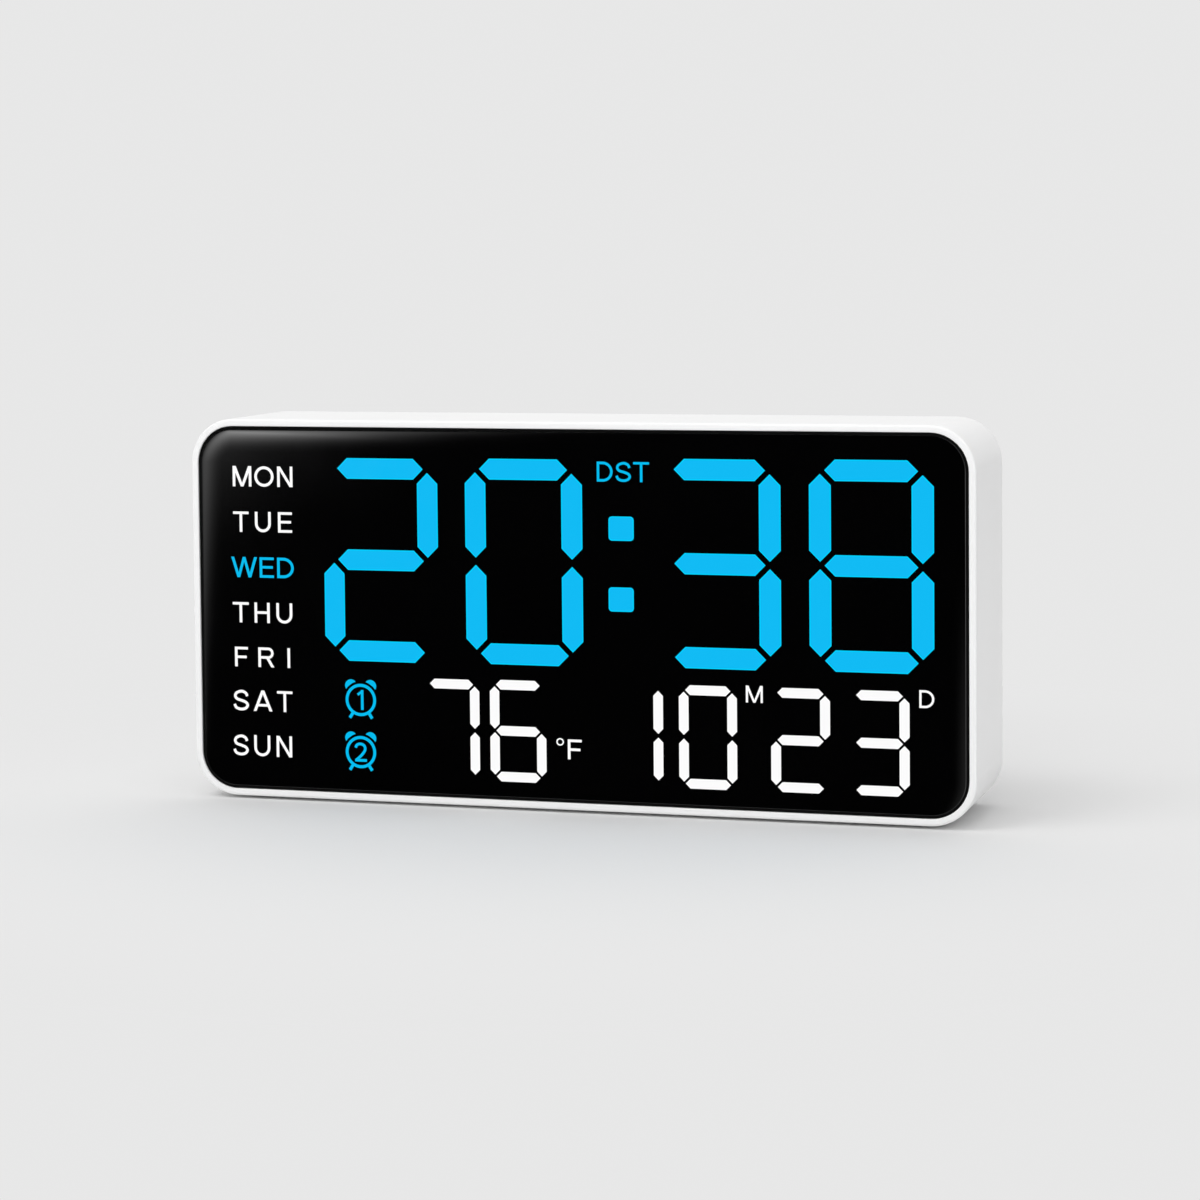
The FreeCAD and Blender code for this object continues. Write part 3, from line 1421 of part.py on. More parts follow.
def make_stand():
    """The leg with its barrel, the rubber strip in its end and the steel pin."""
    leg = body("stand_leg")
    leg_back = hinge_y + s.leg_thickness
    barrel = circle(hinge_y, hinge_z, s.leg_thickness)
    pad(leg, "leg_barrel", -s.leg_width / 2, s.leg_width / 2, [barrel], "X")
    plate_height = hinge_z - s.leg_tip_z
    plate_z = (hinge_z + s.leg_tip_z) / 2
    plate = rounded(MIDDLE_X, plate_z, s.leg_width, plate_height, s.leg_corner)
    pad(leg, "leg_plate", hinge_y, leg_back, [plate])
    shoulder = rectangle(MIDDLE_X, hinge_z - s.leg_corner, s.leg_width, 2 * s.leg_corner)
    pad(leg, "leg_shoulder", hinge_y, leg_back, [shoulder])
    border = s.leg_panel_border
    panel = rounded(
        MIDDLE_X,
        plate_z - s.leg_thickness / 2,
        s.leg_width - 2 * border,
        plate_height - s.leg_thickness - 2 * border,
        s.leg_panel_corner,
    )
    pocket(leg, "leg_hollow", hinge_y, hinge_y + s.leg_panel_depth, [panel])
    bore = circle(hinge_y, hinge_z, s.pin_radius + s.pin_gap)
    pocket(leg, "leg_bore", -s.leg_width / 2, s.leg_width / 2, [bore], "X")
    tip_y = hinge_y + s.leg_thickness / 2
    slot = rectangle(
        MIDDLE_X, tip_y, s.tip_width + 2 * s.tip_gap, s.tip_thickness + 2 * s.tip_gap
    )
    pocket(leg, "tip_slot", s.leg_tip_z, s.leg_tip_z + s.tip_sunk, [slot], "Z")

    tip = body("stand_tip")
    strip = rectangle(MIDDLE_X, tip_y, s.tip_width, s.tip_thickness)
    pad(tip, "tip_strip", s.leg_tip_z - s.tip_proud, s.leg_tip_z + s.tip_sunk, [strip], "Z")

    pin = body("stand_pin")
    pin_half = recess_half_width + s.ear_thickness - s.pin_end
    shaft = circle(hinge_y, hinge_z, s.pin_radius)
    pad(pin, "pin_shaft", -pin_half, pin_half, [shaft], "X")


# ---------------------------------------------------------------- fasteners


def make_screws():
    """The screws of the cover, the two boards and the battery door."""
    cover_head_y = cover_front + s.counterbore_floor
    screws("cover_screws", cover_screw_places, cover_head_y, s.cover_screw_length, False)
    screws("main_board_screws", main_screw_places, main_board_front, s.board_screw_length, True)
    screws(
        "display_board_screws",
        display_screw_places,
        display_board_back,
        s.board_screw_length,
        False,
    )
    door_head_y = door_seat + s.door_thickness - s.screw_head_height
    door_place = [(cell_x, door_screw_z)]
    screws("battery_door_screw", door_place, door_head_y, s.door_screw_length, False)


# ---------------------------------------------------------------- build and write

make_front_case()
make_rubber_feet()
make_front_lens()
make_lens_tape()
make_segment_reflector()
make_leds()
make_diffuser_film()
make_display_board()
make_chips()
make_main_board()
make_small_parts()
make_board_link()
make_power_socket()
make_backup_cell()
make_switches()
make_buttons()
make_rear_cover()
make_battery_door()
make_stand()
make_screws()
doc.recompute()

for thing in doc.Objects:
    if "Invalid" in thing.State or "Error" in thing.State:
        raise RuntimeError(f"{thing.Name} failed: {thing.State}")

SUB_PARTS = [
    "front_case",
    "rubber_feet",
    "front_lens",
    "lens_tape",
    "diffuser_film",
    "segment_reflector",
    "display_board",
    "time_leds",
    "calendar_leds",
    "legend_leds",
    "driver_chips",
    "display_board_screws",
    "link_socket",
    "link_header",
    "main_board",
    "microcontroller",
    "crystal",
    "capacitors",
    "buzzer",
    "temperature_sensor",
    "tact_switches",
    "main_board_screws",
    "power_socket_shell",
    "power_socket_tongue",
    "cell_holder",
    "cell_contact",
    "coin_cell",
    "cell_clip",
    "rear_cover",
    "cover_screws",
    "battery_door",
    "battery_door_screw",
    "stand_leg",
    "stand_tip",
    "stand_pin",
]
SUB_PARTS += [f"{name}_button" for name in BUTTONS]
SUB_PARTS += [f"{name}_plunger" for name in BUTTONS]

os.makedirs("parts", exist_ok=True)
parts = {name: doc.getObjectsByLabel(name)[0] for name in SUB_PARTS}
for name, part in parts.items():
    if part.Shape.isNull() or not part.Shape.isValid():
        raise RuntimeError(f"{name} has no valid shape")
for name, part in parts.items():
    part.Shape.exportStep(f"parts/{name}.step")
    print(f"{name}: {len(part.Shape.Solids)} solids, {part.Shape.Volume:.1f} mm3")
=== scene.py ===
"""Looks of the day clock: camera, light, materials, the smoked lens and what is lit behind it.

The places on the display are in millimetres from the middle of the lens, x to the right and z
up. Everything that reaches Blender is in metres.
"""

import json
import math

import bmesh
import bpy
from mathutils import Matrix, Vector
from mathutils.geometry import delaunay_2d_cdt


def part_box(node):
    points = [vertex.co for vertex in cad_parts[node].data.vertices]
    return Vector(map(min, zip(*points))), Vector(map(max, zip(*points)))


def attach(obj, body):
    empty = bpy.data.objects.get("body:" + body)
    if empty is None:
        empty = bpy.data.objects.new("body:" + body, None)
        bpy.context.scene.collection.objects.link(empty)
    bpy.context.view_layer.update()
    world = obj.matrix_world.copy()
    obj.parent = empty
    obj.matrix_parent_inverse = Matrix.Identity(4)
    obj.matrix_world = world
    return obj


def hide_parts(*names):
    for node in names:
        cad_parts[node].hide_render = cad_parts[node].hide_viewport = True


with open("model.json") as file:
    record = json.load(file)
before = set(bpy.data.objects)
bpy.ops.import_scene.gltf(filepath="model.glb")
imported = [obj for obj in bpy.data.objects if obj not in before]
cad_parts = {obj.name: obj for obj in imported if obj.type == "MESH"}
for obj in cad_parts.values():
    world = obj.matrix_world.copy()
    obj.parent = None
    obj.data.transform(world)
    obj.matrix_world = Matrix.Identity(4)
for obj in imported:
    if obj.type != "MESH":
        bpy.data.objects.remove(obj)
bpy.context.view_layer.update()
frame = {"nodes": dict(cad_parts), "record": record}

MM = 0.001
CLOCK = "clock"
LENS_LOW, LENS_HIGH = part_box("front_lens")
LENS_FRONT = LENS_LOW.y
LENS_X = (LENS_LOW.x + LENS_HIGH.x) / 2
LENS_Z = (LENS_LOW.z + LENS_HIGH.z) / 2


# ---------------------------------------------------------------- camera

CAMERA_PLACE = Vector((0.24895, -0.81478, 0.15230))
CAMERA_TARGET = Vector((0.00863, -0.02000, 0.10440))
# The focal length and the sensor's width are in millimetres, and the roll is in radians.
CAMERA_LENS = 95.22
CAMERA_SENSOR = 36.0
CAMERA_ROLL = -0.00902
# The photograph's uprights hardly converge: its lens looks level and is shifted down, here by
# this share of the frame.
CAMERA_SHIFT = -0.15
CAMERA_CLIP = 0.01


def put(name, data):
    """A new object with that data, linked to the scene."""
    thing = bpy.data.objects.new(name, data)
    bpy.context.scene.collection.objects.link(thing)
    return thing


def aim(thing, target):
    """Points a camera or lamp at a place, upright."""
    thing.rotation_euler = (target - thing.location).to_track_quat("-Z", "Y").to_euler()


def add_camera():
    """The camera that stands where the photograph's stood."""
    data = bpy.data.cameras.new("camera")
    data.lens = CAMERA_LENS
    data.sensor_width = CAMERA_SENSOR
    data.shift_y = CAMERA_SHIFT
    data.clip_start = CAMERA_CLIP
    camera = put("camera", data)
    camera.location = CAMERA_PLACE
    aim(camera, CAMERA_TARGET)
    camera.rotation_euler.rotate_axis("Z", CAMERA_ROLL)
    bpy.context.scene.camera = camera


# ---------------------------------------------------------------- node helpers


class Nodes:
    """A short way to build a node tree."""

    def __init__(self, tree):
        self.tree = tree
        tree.nodes.clear()

    def add(self, kind, **values):
        """A node of that kind. Each value is a property, or an input by its name."""
        node = self.tree.nodes.new(f"ShaderNode{kind}")
        for name, value in values.items():
            if hasattr(node, name):
                setattr(node, name, value)
            else:
                node.inputs[name.replace("_", " ")].default_value = value
        return node

    def link(self, start, end):
        """Joins an output to an input."""
        self.tree.links.new(start, end)

    def map_range(self, value, start, end, low=0.0, high=1.0, **values):
        """Carries the range from start to end over to the one from low to high."""
        ranged = self.add(
            "MapRange", From_Min=start, From_Max=end, To_Min=low, To_Max=high, **values
        )
        self.link(value, ranged.inputs["Value"])
        return ranged.outputs["Result"]

    def ramp(self, value, start, end):
        """Rises smoothly from 0 at start to 1 at end."""
        return self.map_range(value, start, end, interpolation_type="SMOOTHSTEP")

    def maths(self, operation, *values):
        """A sum on values that are numbers or sockets."""
        node = self.add("Math", operation=operation)
        for socket, value in zip(node.inputs, values):
            if isinstance(value, (int, float)):
                socket.default_value = value
            else:
                self.link(value, socket)
        return node.outputs["Value"]

    def product(self, first, *others):
        """The product of two or more values."""
        for other in others:
            first = self.maths("MULTIPLY", first, other)
        return first

    def mixed(self, factor, first, second):
        """Two shaders, mixed by the factor."""
        mix = self.add("MixShader")
        for socket, value in zip(mix.inputs, (factor, first, second)):
            self.link(value, socket)
        return mix.outputs["Shader"]

    def added(self, first, second):
        """Two shaders on top of each other."""
        both = self.add("AddShader")
        for socket, value in zip(both.inputs, (first, second)):
            self.link(value, socket)
        return both.outputs["Shader"]

    def split(self, vector):
        """The x, y and z of a vector."""
        parts = self.add("SeparateXYZ")
        self.link(vector, parts.inputs["Vector"])
        return (parts.outputs[axis] for axis in "XYZ")


def grey(value):
    """An opaque grey."""
    return (value, value, value, 1.0)


def scaled(colour, factor):
    """The colour made darker or lighter."""
    return tuple(min(1.0, channel * factor) for channel in colour)


# ---------------------------------------------------------------- materials

# The values between which nearly all of a noise lies.
NOISE_LOW = 0.3
NOISE_HIGH = 0.7


class Surface:
    """A material with a Principled shader, and coordinates in the object's own metres."""

    def __init__(self, name, colour, roughness, **values):
        self.material = bpy.data.materials.new(name)
        self.material.use_nodes = True
        self.nodes = Nodes(self.material.node_tree)
        self.shader = self.nodes.add(
            "BsdfPrincipled", Base_Color=(*colour, 1.0), Roughness=roughness, **values
        )
        output = self.nodes.add("OutputMaterial")
        self.nodes.link(self.shader.outputs["BSDF"], output.inputs["Surface"])
        self.coords = self.nodes.add("TexCoord").outputs["Object"]

    def mapped(self, **values):
        """The coordinates, turned or stretched."""
        mapping = self.nodes.add("Mapping", **values)
        self.nodes.link(self.coords, mapping.inputs["Vector"])
        return mapping.outputs["Vector"]

    def noise(self, size_mm, detail, coords=None):
        """A noise with spots of about that size, from 0 to 1."""
        texture = self.nodes.add("TexNoise", Scale=1.0 / (size_mm * MM), Detail=detail)
        self.nodes.link(self.coords if coords is None else coords, texture.inputs["Vector"])
        return texture.outputs["Fac"]

    def spread(self, noise, low=0.0, high=1.0):
        """Stretches a noise's middle part to the range from low to high."""
        return self.nodes.map_range(noise, NOISE_LOW, NOISE_HIGH, low, high)

    def tint(self, factor, first, second):
        """Lets the base colour run between two colours."""
        mix = self.nodes.add("Mix", data_type="RGBA")
        mix.inputs["A"].default_value = (*first, 1.0)
        mix.inputs["B"].default_value = (*second, 1.0)
        self.nodes.link(factor, mix.inputs["Factor"])
        self.nodes.link(mix.outputs["Result"], self.shader.inputs["Base Color"])

    def mottle(self, size_mm, first, second):
        """Clouds of that size in the base colour."""
        self.tint(self.spread(self.noise(size_mm, detail=3.0)), first, second)

    def haze(self, size_mm, detail, low, high):
        """Marks of that size in the gloss."""
        marks = self.spread(self.noise(size_mm, detail), low, high)
        self.nodes.link(marks, self.shader.inputs["Roughness"])

    def roughen(self, height, strength, depth_mm):
        """Gives the surface a bump of that depth."""
        bump = self.nodes.add("Bump", Strength=strength, Distance=depth_mm * MM)
        self.nodes.link(height, bump.inputs["Height"])
        self.nodes.link(bump.outputs["Normal"], self.shader.inputs["Normal"])


def moulded(name, colour, roughness, grain_mm, grain_depth_mm, mottling, **values):
    """Moulded plastic or rubber: a fine grain, faint mottling and handling marks in the gloss."""
    surface = Surface(name, colour, roughness, **values)
    surface.mottle(26.0, scaled(colour, 1.0 - mottling), scaled(colour, 1.0 + mottling))
    surface.haze(size_mm=9.0, detail=2.0, low=0.88 * roughness, high=1.12 * roughness)
    surface.roughen(surface.noise(grain_mm, detail=2.0), strength=1.0, depth_mm=grain_depth_mm)
    return surface.material


def metal(name, colour, roughness, closeness):
    """Metal with fine lines along one direction and worn spots in its gloss."""
    surface = Surface(name, colour, roughness, Metallic=1.0)
    lines = surface.noise(size_mm=0.25, detail=4.0, coords=surface.mapped(Scale=closeness))
    surface.tint(surface.spread(lines), scaled(colour, 0.9), scaled(colour, 1.06))
    surface.haze(size_mm=2.5, detail=4.0, low=0.8 * roughness, high=1.25 * roughness)
    surface.roughen(lines, strength=0.5, depth_mm=0.01)
    return surface.material


def board(name, mask, copper):
    """A circuit board: solder mask over faintly raised copper runs."""
    surface = Surface(name, mask, roughness=0.35)
    runs = surface.nodes.add(
        "TexBrick",
        Scale=1.0,
        Color1=grey(1.0),
        Color2=grey(1.0),
        Mortar=grey(0.0),
        Mortar_Size=0.2 * MM,
        Brick_Width=7.4 * MM,
        Row_Height=2.1 * MM,
    )
    upright = surface.mapped(Rotation=(math.radians(90.0), 0.0, 0.0))
    surface.nodes.link(upright, runs.inputs["Vector"])
    surface.tint(runs.outputs["Color"], copper, mask)
    surface.haze(size_mm=4.0, detail=3.0, low=0.28, high=0.42)
    surface.roughen(runs.outputs["Fac"], strength=0.6, depth_mm=0.03)
    return surface.material


def smoked_lens(name):
    """Polished smoked acrylic, all but black, with the faintest haze in its gloss."""
    dark = (0.0007, 0.0007, 0.0008)
    surface = Surface(name, dark, roughness=0.05)
    surface.mottle(40.0, scaled(dark, 0.8), scaled(dark, 1.2))
    surface.haze(size_mm=14.0, detail=5.0, low=0.035, high=0.06)
    surface.roughen(surface.noise(size_mm=60.0, detail=1.0), strength=0.2, depth_mm=0.01)
    return surface.material


def lit(name, colour):
    """A lit shape seen through the lens. Its light is plain, and the lens's gloss lies over it."""
    glow = {"Emission_Color": (*colour, 1.0), "Emission_Strength": 1.0}
    surface = Surface(name, (0.004, 0.004, 0.004), roughness=0.08, **glow)
    surface.mottle(3.0, scaled(colour, 0.004), scaled(colour, 0.008))
    surface.haze(size_mm=6.0, detail=3.0, low=0.06, high=0.1)
    return surface.material


# Plastic and rubber: colour, roughness, the size and depth of the grain in millimetres, and how
# strong the mottling is.
MOULDED = {
    "case_white": ((0.93, 0.93, 0.93), 0.33, 1.6, 0.0005, 0.004),
    "cover_white": ((0.88, 0.88, 0.88), 0.5, 0.35, 0.012, 0.01),
    "stand_white": ((0.88, 0.88, 0.88), 0.46, 0.4, 0.010, 0.01),
    "tape_black": ((0.03, 0.03, 0.03), 0.9, 0.4, 0.02, 0.1),
    "film_grey": ((0.2, 0.2, 0.21), 0.6, 0.2, 0.004, 0.05),
    "reflector_white": ((0.85, 0.85, 0.84), 0.45, 0.6, 0.006, 0.02),
    "chip_black": ((0.03, 0.03, 0.032), 0.55, 0.15, 0.006, 0.08),
    "plunger_black": ((0.05, 0.05, 0.05), 0.5, 0.2, 0.004, 0.06),
    "button_grey": ((0.74, 0.74, 0.75), 0.42, 0.3, 0.008, 0.015),
    "foot_rubber": ((0.05, 0.05, 0.05), 0.8, 0.25, 0.02, 0.12),
}
# Metals: colour, roughness, and how closely the fine lines lie along x, y and z.
METALS = {
    "screw_steel": ((0.55, 0.55, 0.56), 0.38, (1.0, 0.2, 4.0)),
    "can_metal": ((0.75, 0.75, 0.76), 0.36, (1.0, 0.1, 1.0)),
    "socket_steel": ((0.7, 0.7, 0.71), 0.36, (1.0, 6.0, 1.0)),
    "cell_steel": ((0.72, 0.72, 0.70), 0.36, (8.0, 1.0, 1.0)),
    "contact_brass": ((0.8, 0.68, 0.4), 0.36, (1.0, 1.0, 6.0)),
}
LIT_BLUE = lit("blue_light", (0.0056, 0.497, 0.905))
LIT_BLUE_EDGE = lit("blue_light_edge", (0.0, 0.645, 1.0))
LIT_BLUE_TEXT = lit("blue_light_text", (0.002, 0.50, 0.86))
LIT_WHITE = lit("white_light", (0.965, 0.965, 0.965))
LIT_WHITE_EDGE = lit("white_light_edge", (1.0, 1.0, 1.0))
LENS_BLACK = smoked_lens("lens_black")
# Painted shade: a matt, hardly glossy black for the lens's border, standing in for the shaded gap
# between the lens and the rim.
LENS_BORDER_PAINTED_SHADE = moulded(
    "lens_border_painted_shade", (0.003, 0.003, 0.003), 0.85, 0.3, 0.004, 0.1, Specular_IOR_Level=0.12
)
MATERIALS = {
    "lens_black": LENS_BLACK,
    "board_green": board("board_green", (0.012, 0.13, 0.05), (0.03, 0.24, 0.09)),
    "blue_light": LIT_BLUE,
    "white_light": LIT_WHITE,
}
MATERIALS.update({name: moulded(name, *values) for name, values in MOULDED.items()})
MATERIALS.update({name: metal(name, *values) for name, values in METALS.items()})


def dress_nodes():
    """Gives every carried-over node its slot's finished material."""
    for row in frame["record"]["subparts"]:
        thing = frame["nodes"][row["node"]]
        for slot in thing.material_slots:
            slot.material = MATERIALS[row["material_slot"]]


# ---------------------------------------------------------------- flat shapes on the display

# How far an inlay stands proud of the lens's face, and how far it reaches into the lens.
INLAY_PROUD = 0.03 * MM
INLAY_SUNK = 0.12 * MM
# What delaunay_2d_cdt is asked for: triangles inside the polygons, with points merged that lie
# closer together than this, in millimetres.
TRIANGLES_INSIDE = 1
MERGED = 1e-4
# The signs of x and z in each quarter, counter-clockwise.
QUARTERS = ((1, 1), (-1, 1), (-1, -1), (1, -1))


def display_point(x, z, y):
    """A point on the display, given in millimetres, with y in metres."""
    return Vector((LENS_X + x * MM, y, LENS_Z + z * MM))


def turned_left(polygon):
    """The polygon with its points in counter-clockwise order."""
    after = polygon[1:] + polygon[:1]
    area = sum(p[0] * q[1] - q[0] * p[1] for p, q in zip(polygon, after))
    return polygon if area > 0 else polygon[::-1]


def triangles(polygons):
    """The union of overlapping polygons, as points and the triangles between them."""
    points, outlines = [], []
    for polygon in polygons:
        outlines.append(list(range(len(points), len(points) + len(polygon))))
        points += [Vector(point) for point in turned_left(polygon)]
    points, _, faces, _, _, sources = delaunay_2d_cdt(
        points, [], outlines, TRIANGLES_INSIDE, MERGED
    )
    return points, [face for face, inside in zip(faces, sources) if inside]


def outer_edges(faces):
    """The edges that only one face has, in that face's direction."""
    edges = [edge for face in faces for edge in zip(face, face[1:] + face[:1])]
    known = set(edges)
    return [(a, b) for a, b in edges if (b, a) not in known]


def finished(name, shape, materials):
    """Turns a closed shape into an object with those materials."""
    bmesh.ops.recalc_face_normals(shape, faces=shape.faces)
    mesh = bpy.data.meshes.new(name)
    shape.to_mesh(mesh)
    shape.free()
    for material in materials:
        mesh.materials.append(material)
    return put(name, mesh)


def add_inlay(name, layers):
    """A thin closed piece on the lens. Each layer is a list of polygons and their material."""
    shape = bmesh.new()
    for index, (polygons, _) in enumerate(layers):
        points, faces = triangles(polygons)
        front, back = (
            [shape.verts.new(display_point(*point, LENS_FRONT + depth)) for point in points]
            for depth in (-INLAY_PROUD, INLAY_SUNK)
        )
        sides = [[front[k] for k in face] for face in faces]
        sides += [[back[k] for k in reversed(face)] for face in faces]
        sides += [[front[b], front[a], back[a], back[b]] for a, b in outer_edges(faces)]
        for corners in sides:
            shape.faces.new(corners).material_index = index
    loose = [vert for vert in shape.verts if not vert.link_faces]
    bmesh.ops.delete(shape, geom=loose, context="VERTS")
    piece = finished(name, shape, [material for _, material in layers])
    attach(piece, CLOCK)


def band(outer, inner):
    """The band between two lines with as many points, as four-sided polygons."""
    return [[a, b, d, c] for a, b, c, d in zip(outer, outer[1:], inner, inner[1:])]


def closed_band(outer, inner):
    """The band between two outlines with as many points."""
    return band(outer + outer[:1], inner + inner[:1])


def rounded_rectangle(x, z, width, height, radius, steps=6):
    """The outline of a rectangle with round corners."""
    outline = []
    for quarter, (sx, sz) in enumerate(QUARTERS):
        cx = x + sx * (width / 2 - radius)
        cz = z + sz * (height / 2 - radius)
        for k in range(steps + 1):
            turn = (quarter + k / steps) * math.pi / 2
            outline.append((cx + radius * math.cos(turn), cz + radius * math.sin(turn)))
    return outline


# ---------------------------------------------------------------- digits

LIT_SEGMENTS = {
    "0": "abcdef",
    "1": "bc",
    "2": "abged",
    "3": "abgcd",
    "6": "acdefg",
    "7": "abc",
    "8": "abcdefg",
}
# The place of a figure's posts and bars, and the length and thickness of a bar and of a post.
TIME_SIZES = (13.41, 24.62, (24.45, 5.56), (22.70, 5.76))
CALENDAR_SIZES = (6.52, 12.32, (12.2, 2.58), (11.35, 2.61))
# The width of a segment's brighter edge.
TIME_EDGE = 0.28
CALENDAR_EDGE = 0.3
# The colon's dots: their middles, their size and the radius of their corners.
COLON_DOTS = ((14.06, 23.59), (13.93, 4.90))
COLON_WIDTH = 6.87
COLON_HEIGHT = 6.4
COLON_CORNER = 0.95


def segment_outline(x, z, length, thickness, upright, inset):
    """A six-sided segment with 45 degree points, drawn in by inset on every side."""
    half = length / 2 - inset * math.sqrt(2)
    tip = thickness / 2 - inset
    outline = [(-half, 0), (tip - half, tip), (half - tip, tip)]
    outline += [(-u, -v) for u, v in outline]
    if upright:
        outline = [(v, u) for u, v in outline]
    return [(x + u, z + v) for u, v in outline]


def digit_outlines(figure, x, z, side, pitch, bar, post, inset):
    """The outlines of a figure's lit segments.

    Its posts stand side away from the middle and its bars lie pitch apart. Each of the two has a
    length and a thickness.
    """
    rows = {
        "a": (x, z + pitch, *bar, False),
        "g": (x, z, *bar, False),
        "d": (x, z - pitch, *bar, False),
        "f": (x - side, z + pitch / 2, *post, True),
        "b": (x + side, z + pitch / 2, *post, True),
        "e": (x - side, z - pitch / 2, *post, True),
        "c": (x + side, z - pitch / 2, *post, True),
    }
    return [segment_outline(*rows[name], inset) for name in LIT_SEGMENTS[figure]]


def dot_outline(x, z, inset):
    """The outline of one of the colon's dots, drawn in by inset."""
    width, height = COLON_WIDTH - 2 * inset, COLON_HEIGHT - 2 * inset
    return rounded_rectangle(x, z, width, height, COLON_CORNER - inset)


def add_edged(name, outer, inner, blue):
    """Lit shapes, each with a brighter edge between its outer and its inner outline."""
    edges = []
    for outside, inside in zip(outer, inner):
        edges += closed_band(outside, inside)
    if blue:
        add_inlay(name, [(inner, LIT_BLUE), (edges, LIT_BLUE_EDGE)])
    else:
        add_inlay(name, [(inner, LIT_WHITE), (edges, LIT_WHITE_EDGE)])


def add_digits(name, figures, sizes, edge, blue):
    """Digits side by side. Each figure is its sign and the place of its middle."""
    outer, inner = [], []
    for figure, x, z in figures:
        outer += digit_outlines(figure, x, z, *sizes, 0.0)
        inner += digit_outlines(figure, x, z, *sizes, edge)
    add_edged(name, outer, inner, blue)


def add_figures():
    """The time, the temperature, the month and the day."""
    hours = [("2", -53.24, 13.86), ("0", -12.88, 14.18)]
    minutes = [("3", 40.72, 14.74), ("8", 80.82, 15.04)]
    add_digits("hours", hours, TIME_SIZES, TIME_EDGE, blue=True)
    add_digits("minutes", minutes, TIME_SIZES, TIME_EDGE, blue=True)
    outer = [dot_outline(x, z, 0.0) for x, z in COLON_DOTS]
    inner = [dot_outline(x, z, TIME_EDGE) for x, z in COLON_DOTS]
    add_edged("colon", outer, inner, blue=True)
    temperature = [("7", -33.58, -31.25), ("6", -14.93, -30.98)]
    month = [("1", 17.25, -30.72), ("0", 37.23, -30.72)]
    day = [("2", 61.99, -30.60), ("3", 82.80, -30.52)]
    add_digits("temperature", temperature, CALENDAR_SIZES, CALENDAR_EDGE, blue=False)
    add_digits("month", month, CALENDAR_SIZES, CALENDAR_EDGE, blue=False)
    add_digits("day", day, CALENDAR_SIZES, CALENDAR_EDGE, blue=False)


# ---------------------------------------------------------------- strokes

# How many steps a curve takes from each of its points to the next.
CURVE_STEPS = 7


def rectangle(x0, z0, x1, z1):
    """The polygon of a rectangle between two corners."""
    return [(x0, z0), (x1, z0), (x1, z1), (x0, z1)]


def shifted(polygons, x, z):
    """The polygons moved by x and z."""
    return [[(u + x, v + z) for u, v in polygon] for polygon in polygons]


def mirrored(polygons, width):
    """The polygons with left and right exchanged, in a box of that width."""
    return [[(width - u, v) for u, v in polygon] for polygon in polygons]


def arc(cx, cz, rx, rz, start, end, width, steps=20):
    """A bent bar: part of an ellipse with outer radii rx and rz, from start to end in degrees."""
    outer, inner = [], []
    for k in range(steps + 1):
        turn = math.radians(start + (end - start) * k / steps)
        outer.append((cx + rx * math.cos(turn), cz + rz * math.sin(turn)))
        inner.append((cx + (rx - width) * math.cos(turn), cz + (rz - width) * math.sin(turn)))
    return band(outer, inner)


def stroke(points, width):
    """A line of that width through the points, as four-sided polygons with mitred joints."""
    left, right = [], []
    for k, point in enumerate(points):
        along = Vector(points[min(k + 1, len(points) - 1)]) - Vector(points[max(k - 1, 0)])
        across = Vector((-along.y, along.x)).normalized() * width / 2
        left.append(Vector(point) + across)
        right.append(Vector(point) - across)
    return band(left, right)


def smooth(points):
    """A curve through the points."""
    padded = [points[0], *points, points[-1]]
    curve = []
    for k in range(1, len(padded) - 2):
        a, b, c, d = (Vector(p) for p in padded[k - 1 : k + 3])
        for step in range(CURVE_STEPS):
            t = step / CURVE_STEPS
            bend = (2 * a - 5 * b + 4 * c - d) * t**2
            twist = (3 * b - a - 3 * c + d) * t**3
            curve.append(0.5 * (2 * b + (c - a) * t + bend + twist))
    curve.append(Vector(points[-1]))
    return curve


# ---------------------------------------------------------------- letters
#
# Each letter is a list of polygons, drawn in a box of w by h, with stems of width t.

# The thickness of a level bar, as a share of a stem's width.
BAR = 0.92


def stems(w, h, t, low=0):
    """The stems at both sides of a letter, from the height low to its top."""
    return [rectangle(0, low, t, h), rectangle(w - t, low, w, h)]


def level_bar(length, middle, thickness):
    """A bar from the letter's left side, whose middle line lies at that height."""
    return rectangle(0, middle - thickness / 2, length, middle + thickness / 2)


def drawn(path, w, h, t):
    """A smooth stroke through points that are given as shares of the box inside its edge."""
    inset = t / 2
    return stroke(smooth([(inset + u * (w - t), inset + v * (h - t)) for u, v in path]), t)


def letter_a(w, h, t):
    """A: two slopes and a low crossbar."""
    foot, top, low = 1.1 * t, 0.56 * t, 0.225 * h
    slope = [(0, 0), (foot, 0), (w / 2 + top, h), (w / 2 - top, h)]
    crossbar = rectangle(0.2 * w, low, 0.8 * w, low + BAR * t)
    return [slope, *mirrored([slope], w), crossbar]


def letter_d(w, h, t):
    """D: a stem, two level bars and a bend."""
    bend = 0.62 * w
    return arc(w - bend, h / 2, bend, h / 2, -90, 90, t) + [
        rectangle(0, 0, t, h),
        rectangle(0, 0, w - bend, t),
        rectangle(0, h - t, w - bend, h),
    ]


def letter_e(w, h, t):
    """E: a stem and three bars."""
    bar = BAR * t
    return [
        rectangle(0, 0, t, h),
        rectangle(0, 0, w, bar),
        rectangle(0, h - bar, w, h),
        level_bar(0.93 * w, 0.515 * h, bar),
    ]


def letter_f(w, h, t):
    """F: a stem and two bars."""
    bar = BAR * t
    return [rectangle(0, 0, t, h), rectangle(0, h - bar, w, h), level_bar(0.9 * w, 0.49 * h, bar)]


def letter_h(w, h, t):
    """H: two stems and a bar."""
    return stems(w, h, t) + [level_bar(w, 0.51 * h, BAR * t)]


def letter_i(w, h, _):
    """I: a stem as wide as its box."""
    return [rectangle(0, 0, w, h)]


